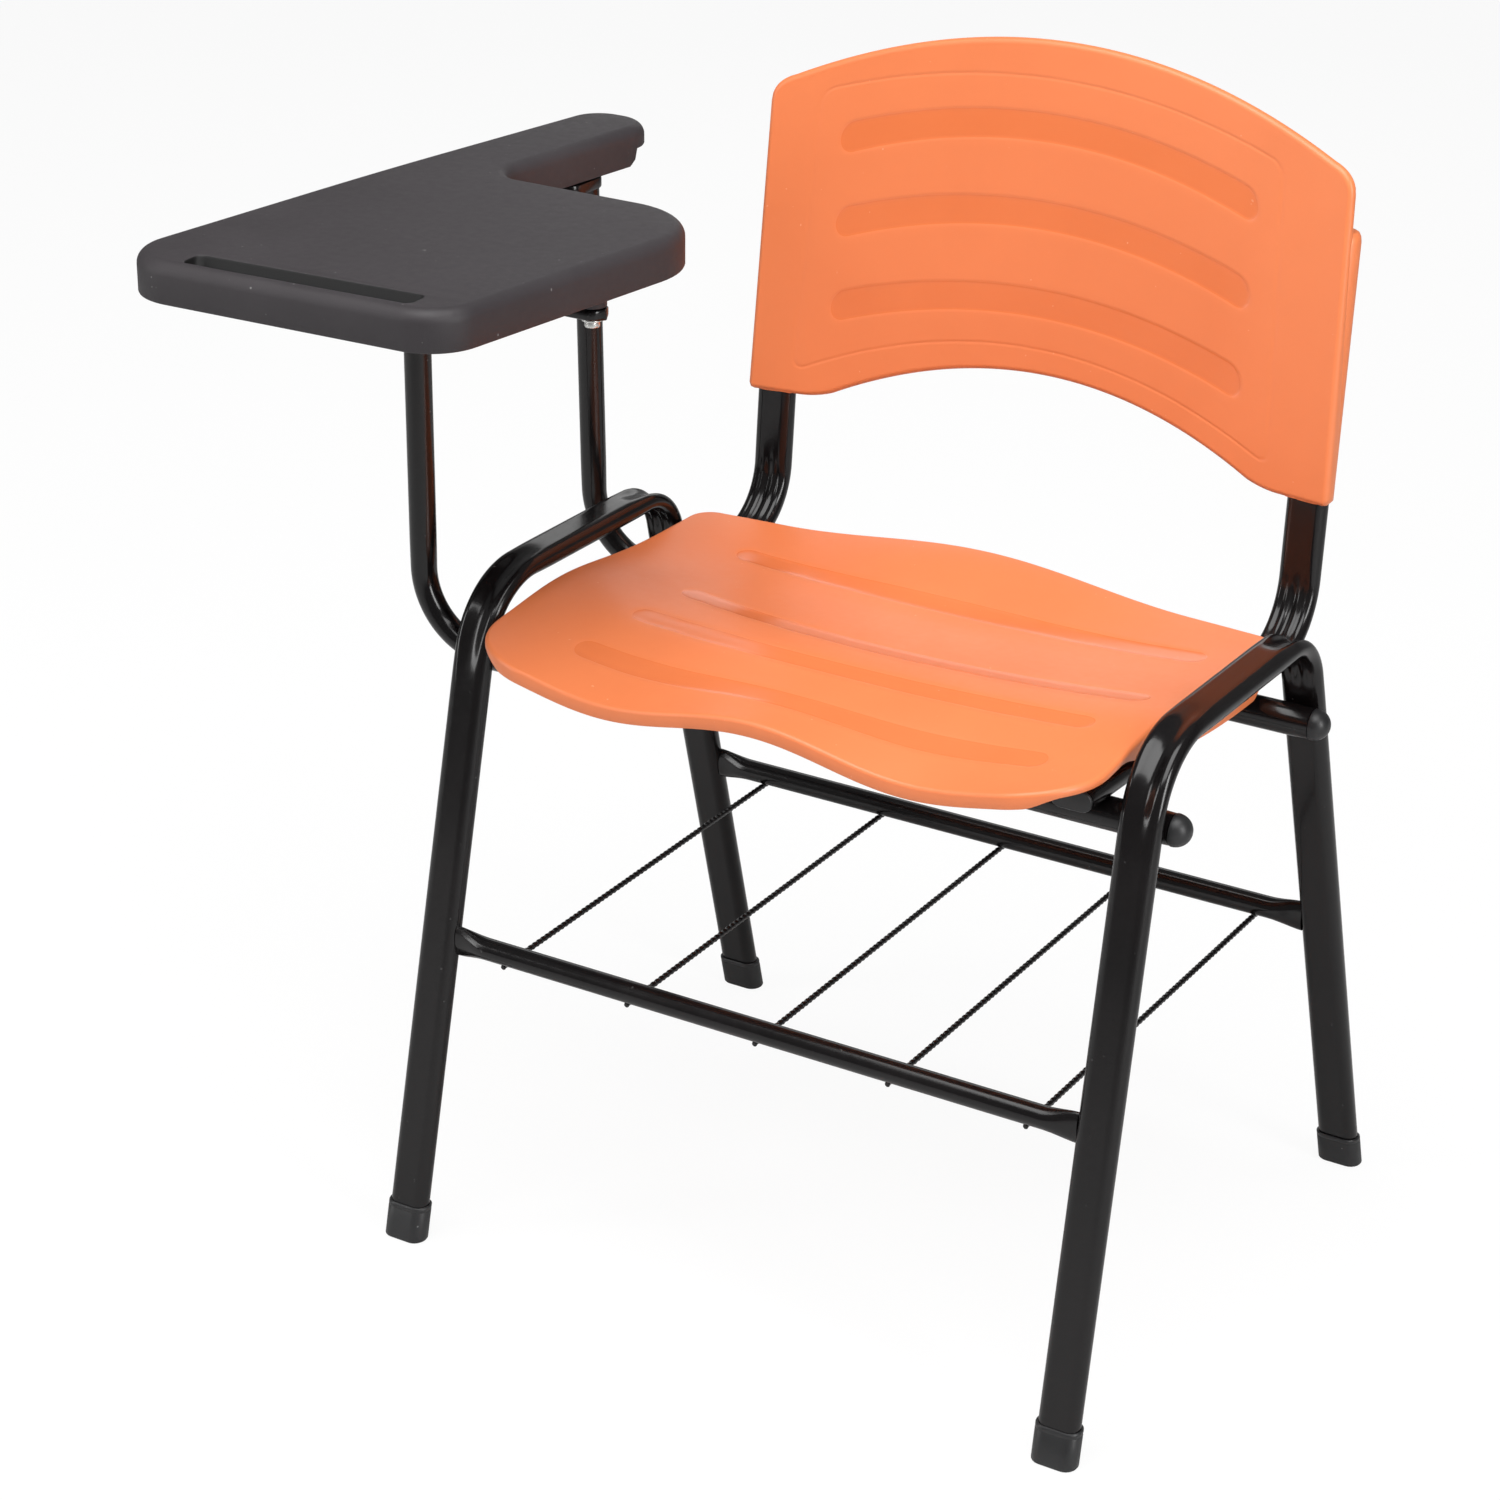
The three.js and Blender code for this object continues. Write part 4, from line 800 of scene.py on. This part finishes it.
def back_high(x, shrink=0.0):
    x = abs(x)
    top_x = BACK_HALF_WIDTH - BACK_SIDE_TAPER - shrink
    shoulder_x = BACK_SHOULDER_X - shrink
    if x <= shoulder_x:
        return BACK_TOP_Z - (BACK_TOP_Z - BACK_SHOULDER_Z) * (x / shoulder_x) ** 2
    c, e = top_x - shoulder_x, BACK_SHOULDER_Z - BACK_SIDE_TOP_Z
    t = 1 - math.sqrt(max(0, 1 - min(1, (x - shoulder_x) / c)))
    control = BACK_SHOULDER_Z - 5
    return BACK_SHOULDER_Z * (1 - t) ** 2 + 2 * control * t * (1 - t) + (control + 5 - e) * t * t


def back_lip(x, z):
    beside = smooth(0.955, 0.975, abs(x) / BACK_HALF_WIDTH) * (1 - smooth(POCKET_TOP_Z - 10, POCKET_TOP_Z, z))
    return BACK_LIP + 6.5 * float(beside)


def back_plan(u, v, inset=0.0):
    share = (v + 1) / 2
    wide = BACK_HALF_WIDTH - inset - BACK_SIDE_TAPER * share
    x = u * wide
    full = x * (BACK_HALF_WIDTH - BACK_SIDE_TAPER * share) / wide
    low, high = back_low(full) + inset, back_high(full) - inset
    return x, low + share * (high - low)


BACK_BANDS = [(763.5, 723.5), (701.5, 662), (638.5, 600)]
BACK_BAND_REACH, BACK_BAND_HALF = 164.5, 10.5
BACK_ART_X = -7.5


def back_band(x, z):
    """How far a place is from the nearest arched band's edge, below 0 inside it."""
    gaps = []
    x -= BACK_ART_X
    for peak, end in BACK_BANDS:
        middle = peak - BACK_BAND_HALF - (peak - end - BACK_BAND_HALF) * (x / BACK_BAND_REACH) ** 2
        lean = 2 * (peak - end) * x / BACK_BAND_REACH ** 2
        gaps.append(math.hypot(max(0.0, abs(x) - BACK_BAND_REACH + BACK_BAND_HALF),
                               (z - middle) / math.hypot(1, lean)) - BACK_BAND_HALF)
    return min(gaps)


def back_relief(x, z):
    """Depth pushed in from the face: three arched bands and a fine engraved line."""
    return (0.5 * float(1 - smooth(-1.3, 1.3, back_band(x, z)))
            + 0.4 * float(1 - smooth(0.2, 1.1, engraved_distance(x, z))))


def engraved_distance(x, z):
    x = abs(x - BACK_ART_X)
    top = 787.5 - 30 * (x / 180) ** 2
    low = 595 - 41 * (x / 180) ** 2
    side = 181 + 10 * (757 - z) / 200
    corner_r = 10
    inside_x, top_gap, low_gap = side - x, (top - z) * 0.93, (z - low) * 0.93
    gap = min(top_gap, low_gap)
    if inside_x < corner_r and gap < corner_r:
        return abs(corner_r - math.hypot(corner_r - inside_x, corner_r - gap))
    return min(abs(inside_x) if gap > 0 else 99, abs(gap) if inside_x > 0 else 99)


def back():
    roll = 4.0

    def top(u, v):
        x, z = back_plan(u, v, roll)
        return x, back_y(x, z) + back_relief(x, z), z

    def bottom(u, v):
        x, z = back_plan(u, v, roll + 1)
        return x, back_y(x, z) + BACK_WALL, z

    def rim(loop):
        base = np.array([back_plan(u, v, roll) for u, v in loop])
        out = outward(base)
        rings = []
        for a in np.linspace(0.2, math.pi / 2, 7):
            spot = base + out * roll * math.sin(a)
            rings.append([(x, back_y(bx, bz) + roll * (1 - math.cos(a)), z)
                          for (x, z), (bx, bz) in zip(spot, base)])
        for grow, depth in ((roll, 0.8), (roll - 0.5, 0.97), (roll - 1.3, 1), (roll - 2.6, 0.97),
                            (roll - 3.1, 0.8)):
            spot = base + out * grow
            rings.append([(x, back_y(bx, bz) + back_lip(bx, bz) * depth, z)
                          for (x, z), (bx, bz) in zip(spot, base)])
        return rings

    # The band mask makes the back's bands glossier and tints them darker; the tint is a painted reflection
    # tone.
    shell(top, bottom, eased_steps(261, 0.6), eased_steps(221, 0.4), rim, "back_moulding", ORANGE,
          ["backrest_shell"], lambda x, y, z: 0.5 - back_band(x, z) / 8 if y < back_y(x, z) + 2.4 else 0)
    for side, hand in ((1, "left"), (-1, "right")):
        pocket = Shape()
        outline = oval(OVAL_WIDE, OVAL_THIN, 14)
        rings = []
        levels = [(BACK_BOTTOM_Z + 0.4, POCKET_GROW - 0.7), (BACK_BOTTOM_Z + 1.2, POCKET_GROW)]
        levels += [(z, POCKET_GROW) for z in np.linspace(BACK_BOTTOM_Z + 20, POCKET_TOP_Z - 8, 8)]
        levels += [(POCKET_TOP_Z - 4.5, POCKET_GROW - 0.5), (POCKET_TOP_Z - 1.8, POCKET_GROW - 1.8),
                   (POCKET_TOP_Z - 0.4, POCKET_GROW - 3.8)]
        for z, grow in levels:
            scale = np.array([(OVAL_WIDE + 2 * grow) / OVAL_WIDE, (OVAL_THIN + 2 * grow) / OVAL_THIN])
            ring = []
            for a, b in outline * scale:
                x, y = side * RAIL_X + a, upright_y(z) + b
                ring.append((x, max(y, back_y(x, z) + 1.6), z))
            rings.append(pocket.add(ring))
        inner = []
        for z, grow in ((UPRIGHT_TOP_Z + 0.5, 0.4), (BACK_BOTTOM_Z + 1.0, 0.4)):
            scale = np.array([(OVAL_WIDE + 2 * grow) / OVAL_WIDE, (OVAL_THIN + 2 * grow) / OVAL_THIN])
            inner.append(pocket.add([(side * RAIL_X + a, upright_y(z) + b, z) for a, b in outline * scale]))
        pocket.bridge_all(rings)
        pocket.bridge_all(inner)
        pocket.bridge(rings[0], inner[-1])
        pocket.fan(rings[-1])
        pocket.fan(inner[0])
        pocket.make(f"back_socket_{hand}", ORANGE, "frame", sharp=50)


# ------------------------------------------------------------------ writing tablet

def rounded(corners, inset=0.0, arc=18, run=5.0):
    """A closed outline from (x, y, radius) corners, moved inwards; the same count for any inset."""
    count = len(corners)
    at = [np.array(c[:2], float) for c in corners]
    area = sum(at[i][0] * at[(i + 1) % count][1] - at[(i + 1) % count][0] * at[i][1]
               for i in range(count))
    winding = math.copysign(1, area)
    edges = []
    for i in range(count):
        along = at[(i + 1) % count] - at[i]
        along /= np.linalg.norm(along)
        edges.append((along, at[i] + np.array([-along[1], along[0]]) * winding * inset))
    arcs = []
    for i in range(count):
        (before, a), (after, b) = edges[i - 1], edges[i]
        cross = before[0] * after[1] - before[1] * after[0]
        reach = ((b - a)[0] * after[1] - (b - a)[1] * after[0]) / cross
        corner = a + before * reach
        side = math.copysign(1, cross)
        radius = max(0.5, corners[i][2] + (-inset if side == winding else inset))
        angle = math.acos(float(np.clip(before @ after, -1, 1)))
        start = corner - before * radius * math.tan(angle / 2)
        centre = start + np.array([-before[1], before[0]]) * side * radius
        from_ = math.atan2(*(start - centre)[::-1])
        arcs.append([centre + radius * np.array([math.cos(from_ + side * angle * k / arc),
                                                 math.sin(from_ + side * angle * k / arc)])
                     for k in range(arc + 1)])
    plain_arcs = arcs if inset == 0 else rounded_arcs[id(corners)]
    if inset == 0:
        rounded_arcs[id(corners)] = arcs
    points = []
    for i in range(count):
        points += arcs[i]
        gap = np.linalg.norm(plain_arcs[(i + 1) % count][0] - plain_arcs[i][-1])
        pieces = max(1, int(gap / run))
        a, b = arcs[i][-1], arcs[(i + 1) % count][0]
        points += [a + (b - a) * k / pieces for k in range(1, pieces)]
    return np.array(points)


rounded_arcs = {}


def groove_corners(grow, far=0.0):
    long, wide = GROOVE_LENGTH / 2 + grow, GROOVE_WIDTH / 2 + grow
    c, s = math.cos(GROOVE_TURN), math.sin(GROOVE_TURN)
    return [(GROOVE_AT[0] + x * c - y * s, GROOVE_AT[1] + x * s + y * c, GROOVE_CORNER_R + grow)
            for x, y in ((-long, -wide), (long, -wide), (long, wide - far), (-long, wide - far))]


def groove_ring(grow, far=0.0):
    return traced(groove_corners(grow, far))


def traced(corners, arc=8):
    """A closed outline whose straight runs hold no points of their own."""
    return rounded(corners, 0.0, arc, 1e9)


# Mask of the groove's walls and floor, where the board's colour is darkened as painted shade in the recess.
def in_groove(x, y, z):
    a, b = x - GROOVE_AT[0], y - GROOVE_AT[1]
    c, s = math.cos(GROOVE_TURN), math.sin(GROOVE_TURN)
    near = abs(a * c + b * s) < GROOVE_LENGTH / 2 + 1 and abs(b * c - a * s) < GROOVE_WIDTH / 2 + 1
    return float(near and TABLET_TOP_Z - GROOVE_DEPTH - 0.5 < z < TABLET_TOP_Z - 0.5)


def tablet():
    rounded(TABLET_CORNERS)
    shape = Shape()
    under = TABLET_TOP_Z - TABLET_THICK

    def low_z(y):
        return under + (TABLET_THICK - ARM_END_THICK) * float(smooth(ARM_STEP_Y - 1.5, ARM_STEP_Y + 1.5, y))

    def ring(inset, height):
        return shape.add([(x, y, height(y)) for x, y in rounded(TABLET_CORNERS, inset)])

    rings = []
    for k in range(11):
        angle = math.pi / 2 * k / 10
        z = TABLET_TOP_Z - TABLET_ROUND * (1 - math.cos(angle))
        rings.append(ring(TABLET_ROUND * (1 - math.sin(angle)), lambda y, z=z: z))
    rings.append(ring(0, lambda y: low_z(y) + 1.2))
    rings.append(ring(0.4, lambda y: low_z(y) + 0.4))
    rings.append(ring(1.2, low_z))
    rings.append(ring(TABLET_WALL - 0.6, low_z))
    rings.append(ring(TABLET_WALL, lambda y: low_z(y) + 0.6))
    skin = TABLET_TOP_Z - TABLET_WALL
    rings.append(ring(TABLET_WALL + 0.8, lambda y: skin - 1))
    rings.append(ring(TABLET_WALL + 2, lambda y: skin))
    shape.bridge_all(rings)
    mouth = []
    floor_z = TABLET_TOP_Z - GROOVE_DEPTH
    for grow, far, z in ((1.3, 0, TABLET_TOP_Z), (0.6, 0, TABLET_TOP_Z - 0.15),
                         (0.1, 0, TABLET_TOP_Z - 0.7), (-0.2, 0.3, TABLET_TOP_Z - 1.6),
                         (-0.8, 2.6, floor_z + 1.2), (-1.4, 3.0, floor_z + 0.2),
                         (-2.4, 3.2, floor_z)):
        mouth.append(shape.add([(x, y, z) for x, y in groove_ring(grow, far)]))
    shape.bridge_all(mouth)
    shape.fill(mouth[-1])
    shape.fill(rings[0], [mouth[0]])
    hood = []
    for grow, z in ((3.4, skin), (3.0, floor_z - 2.4), (2.4, floor_z - 3)):
        hood.append(shape.add([(x, y, z) for x, y in groove_ring(grow)]))
    shape.bridge_all(hood)
    shape.fill(hood[-1])
    shape.fill(rings[-1], [hood[0]])
    # in_groove marks the groove, whose colour the material darkens as painted shade.
    shape.make("tablet_board", CHARCOAL, "tablet", ["tablet_top"], sharp=60, polish_and_shade=in_groove)

    wall = Shape()
    low, high = under + 0.6, skin + 0.5
    def x_at(y, edge):
        a, b = edge
        return a[0] + (b[0] - a[0]) * (y - a[1]) / (b[1] - a[1])
    near, far = ARM_STEP_Y - TABLET_WALL, ARM_STEP_Y - 0.6
    inner = ((-318.5, 86), (-296, 268))
    outer = ((-392.5, 48), (-358, 268))
    grow = TABLET_WALL - 1.5
    ends = [(x_at(near, outer) + grow, near), (x_at(near, inner) - grow, near),
            (x_at(far, inner) - grow, far), (x_at(far, outer) + grow, far)]
    slabs = [wall.add([(x, y, z) for x, y in ends]) for z in (low, high)]
    wall.bridge_all(slabs)
    wall.fill(slabs[0])
    wall.fill(slabs[1])
    wall.make("tablet_arm_web", CHARCOAL, "tablet")

    for i, (x, y, top) in enumerate(bolt_places()):
        wide = 10 if y < 150 else 7.5
        high = skin + 0.5 - (top + 0.4)
        turned(eased([(0.01, 0), (wide, 0), (wide, high), (0.01, high)]), (x, y, top + 0.4),
               (0, 0, 1)).make(f"tablet_boss_{i + 1}", CHARCOAL, "tablet")


def bolt_places():
    return [(x, FRONT_CROSS[0], FRONT_TAB_TOP_Z) for x in FRONT_BOLT_X] + \
        [(REAR_SUPPORT_TOP_X, REAR_BOLT_Y, REAR_TAB_TOP_Z)]


def supports():
    y, z = FRONT_CROSS
    arm_z = FRONT_TAB_TOP_Z - TAB_THICK / 2
    tab_end = FRONT_BOLT_X[1] + TAB_WIDE / 2
    path = bent_path([[SUPPORT_INNER_X, y, z], [SUPPORT_X, y, z], [SUPPORT_X, y, arm_z],
                      [tab_end, y, arm_z]], [SUPPORT_BEND_R, SUPPORT_TOP_BEND_R], run_step=4.0)
    round_ = circle(SUPPORT_R, 36)

    def section(s, rest, bend):
        flat = float(1 - smooth(96, 118, rest))
        rows = round_.copy()
        squared = np.sign(rows) * np.abs(rows / SUPPORT_R) ** 0.45 * np.array([TAB_WIDE / 2, TAB_THICK / 2])
        rows = rows * (1 - flat) + squared * flat
        if rest < TAB_WIDE / 2:
            rows[:, 0] *= max(0.12, math.sqrt(1 - (1 - rest / (TAB_WIDE / 2)) ** 2))
        rows[:, 1] *= 1 - 0.07 * bend
        return rows

    sweep(path, (0, 1, 0), section, SUPPORT_WALL).make("support_pipe_front", BLACK, "tablet",
                                                       ["tablet_support_front"])
    y, z = REAR_CROSS
    path = bent_path([[SUPPORT_INNER_X, y, z], [SUPPORT_X, y, z],
                      [REAR_SUPPORT_TOP_X, y, REAR_TAB_TOP_Z - 2]], [SUPPORT_BEND_R], run_step=6.0)
    sweep(path, (0, 1, 0), lambda s, rest, bend: round_ * np.array([1, 1 - 0.07 * bend]), SUPPORT_WALL).make(
        "support_pipe_rear", BLACK, "tablet", ["tablet_support_rear"])
    plate = Shape()
    low_y, high_y = REAR_BOLT_Y - TAB_WIDE / 2, y + TAB_WIDE / 2
    half, x = TAB_WIDE / 2, REAR_SUPPORT_TOP_X
    corners = [(x - half, low_y, half - 0.6), (x + half, low_y, half - 0.6),
               (x + half, high_y, half - 0.6), (x - half, high_y, half - 0.6)]
    rings = []
    for shrink, level in ((1.2, 0), (0.35, 0.3), (0, 1.1), (0, TAB_THICK - 1.1), (0.35, TAB_THICK - 0.3),
                          (1.2, TAB_THICK)):
        tight = [(cx + math.copysign(shrink, x - cx), cy + math.copysign(shrink, (low_y + high_y) / 2 - cy),
                  r - shrink) for cx, cy, r in corners]
        rings.append(plate.add([(a, b, REAR_TAB_TOP_Z - TAB_THICK + level) for a, b in traced(tight)]))
    plate.bridge_all(rings)
    plate.fill(rings[0])
    plate.fill(rings[-1])
    plate.make("support_plate_rear", BLACK, "tablet")


# ------------------------------------------------------------------ fasteners

def fasteners():
    for i, (x, y, top) in enumerate(bolt_places()):
        z = top - TAB_THICK - 0.3
        ring = Shape()
        profile = eased([(3.4, -0.1), (3.4, -1.5), (7, -1.5), (7, 0), (3.4, 0)], 0.3)
        rings = []
        loop = circle(1.0, 40)
        for radius, along in profile:
            rings.append(ring.add([(x + a * radius, y + b * radius, z + along) for a, b in loop]))
        ring.bridge_all(rings, loop=True)
        ring.make(f"bright_washer_{i + 1}", ZINC, "tablet", [f"tablet_washer_{i + 1}"])
        head = eased([(0.01, -4), (5.2, -4), (5.2, 0), (3, 0), (3, 19), (0.01, 19)], 0.7)
        turned(head, (x, y, z - 1.8), (0, 0, 1)).make(f"bright_bolt_{i + 1}", ZINC, "tablet",
                                                      [f"tablet_bolt_{i + 1}"])
    for side, hand in ((1, "left"), (-1, "right")):
        for y, end in ((30, "front"), (165, "rear")):
            head = rail_z(y) - OVAL_THIN / 2 - 0.5
            turned(eased([(0.01, -3), (3.9, -2.8), (4.8, 0), (2.5, 0), (2.5, 24.5), (0.01, 24.5)]),
                   (side * RAIL_X, y, head), (0, 0, 1)).make(
                f"seat_fixing_{end}_{hand}", ZINC, "frame", [f"seat_screw_{end}_{hand}"])
        y = upright_y(600) + OVAL_THIN / 2 + POCKET_GROW + 0.6
        turned(eased([(0.01, -16), (2.5, -16), (2.5, 0), (4.8, 0), (3.9, 2.8), (0.01, 3)]),
               (side * RAIL_X, y, 600), (0, 1, 0)).make(
            f"back_fixing_{hand}", ZINC, "frame", [f"backrest_screw_{hand}"])
    for (y, z), end in ((FRONT_CROSS, "front"), (REAR_CROSS, "rear")):
        head = z - CROSS_R - 0.3
        turned(eased([(0.01, -5), (5, -5), (5, 0), (3, 0), (3, 1.5), (0.01, 1.5)], 0.6),
               (-185, y, head), (0, 0, 1)).make(f"clamp_fixing_{end}", ZINC, "frame", [f"clamp_screw_{end}"])


# ------------------------------------------------------------------ build

for side, hand in ((1, "left"), (-1, "right")):
    side_frame(side, hand)
    foot_cap(side, FRONT_FOOT_Y, FRONT_LEG_SLOPE, f"foot_cap_front_{hand}")
    foot_cap(side, REAR_FOOT_Y, REAR_LEG_SLOPE, f"foot_cap_rear_{hand}")
    back_upright(side, hand)
lower_bar(front_leg_y, FRONT_BAR_Z, "front_lower_bar")
lower_bar(rear_leg_y, REAR_BAR_Z, "rear_lower_bar")
for index in range(ROD_COUNT):
    rack_rod(index)
cross_tube(FRONT_CROSS, "front")
cross_tube(REAR_CROSS, "rear")
seat()
back()
tablet()
supports()
fasteners()

# ------------------------------------------------------------------ studio

def studio():
    mesh = bpy.data.meshes.new("studio_floor")
    size, high, deep = 14.0, 9.0, 7.0
    rows = [(y, 0.0) for y in np.linspace(-size, deep - 3, 10)]
    rows += [(deep - 3 + 3 * math.sin(a), 3 * (1 - math.cos(a))) for a in np.linspace(0.1, math.pi / 2, 14)]
    rows += [(deep, high)]
    points = [(x, y, z) for y, z in rows for x in (-size, size)]
    faces = [(2 * i, 2 * i + 1, 2 * i + 3, 2 * i + 2) for i in range(len(rows) - 1)]
    mesh.from_pydata(points, [], faces)
    mesh.shade_smooth()
    floor = bpy.data.objects.new("studio_floor", mesh)
    bpy.context.scene.collection.objects.link(floor)
    floor.location = (0, 0, -0.0004)
    paint = bpy.data.materials.new("studio_white")
    paint.use_nodes = True
    tree = paint.node_tree
    shader = tree.nodes["Principled BSDF"]
    shader.inputs["Base Color"].default_value = (0.62, 0.62, 0.62, 1)
    shader.inputs["Roughness"].default_value = 0.9
    shader.inputs["Specular IOR Level"].default_value = 0.05
    glow = node(tree, "ShaderNodeEmission", {"Color": (1, 1, 1, 1), "Strength": 1.06})
    seen = node(tree, "ShaderNodeLightPath").outputs["Is Camera Ray"]
    mix = node(tree, "ShaderNodeMixShader")
    link(tree, maths(tree, "MULTIPLY", seen, 0.86), mix.inputs["Fac"])
    link(tree, shader.outputs["BSDF"], mix.inputs[1])
    link(tree, glow.outputs["Emission"], mix.inputs[2])
    link(tree, mix.outputs["Shader"], tree.nodes["Material Output"].inputs["Surface"])
    mesh.materials.append(paint)

    world = bpy.data.worlds.new("studio_air")
    bpy.context.scene.world = world
    world.use_nodes = True
    world.node_tree.nodes["Background"].inputs["Color"].default_value = (1, 1, 1, 1)
    world.node_tree.nodes["Background"].inputs["Strength"].default_value = 0.20

    def softbox(name, at, look, size_x, size_y, power):
        data = bpy.data.lights.new(name, "AREA")
        data.shape = "RECTANGLE"
        data.size, data.size_y, data.energy = size_x, size_y, power
        lamp = bpy.data.objects.new(name, data)
        lamp.location = at
        lamp.rotation_euler = (Vector(look) - Vector(at)).to_track_quat("-Z", "Y").to_euler()
        bpy.context.scene.collection.objects.link(lamp)

    softbox("key_top", (0.2, -0.9, 3.2), (0, 0.05, 0.4), 3.0, 2.4, 118)
    softbox("side_left", (3.0, -0.9, 1.5), (0, 0, 0.4), 0.7, 2.2, 58)
    softbox("rear_high", (-1.3, 2.7, 1.5), (0, 0.1, 0.45), 1.6, 0.9, 5)
    softbox("side_right", (-2.6, -2.2, 1.4), (0, 0, 0.4), 0.7, 2.2, 34)


def camera():
    data = bpy.data.cameras.new("studio_camera")
    data.sensor_width = 36
    data.lens = 91.5
    data.shift_x, data.shift_y = -0.0021, 0.0032
    data.clip_end = 100
    cam = bpy.data.objects.new("studio_camera", data)
    right, up, back_ = Vector((0.8511, 0.5250, 0.0079)), Vector((-0.2233, 0.3483, 0.9104)), \
        Vector((0.4752, -0.7766, 0.4137))
    turn = Matrix((right, up, back_)).transposed().to_4x4()
    at = place([(1181.2, -2013.3, 1457.2)])[0]
    cam.matrix_world = Matrix.Translation(Vector(at)) @ turn
    bpy.context.scene.collection.objects.link(cam)
    bpy.context.scene.camera = cam


studio()
camera()
bpy.context.scene.view_settings.view_transform = "Standard"
bpy.context.scene.view_settings.exposure = 0.0
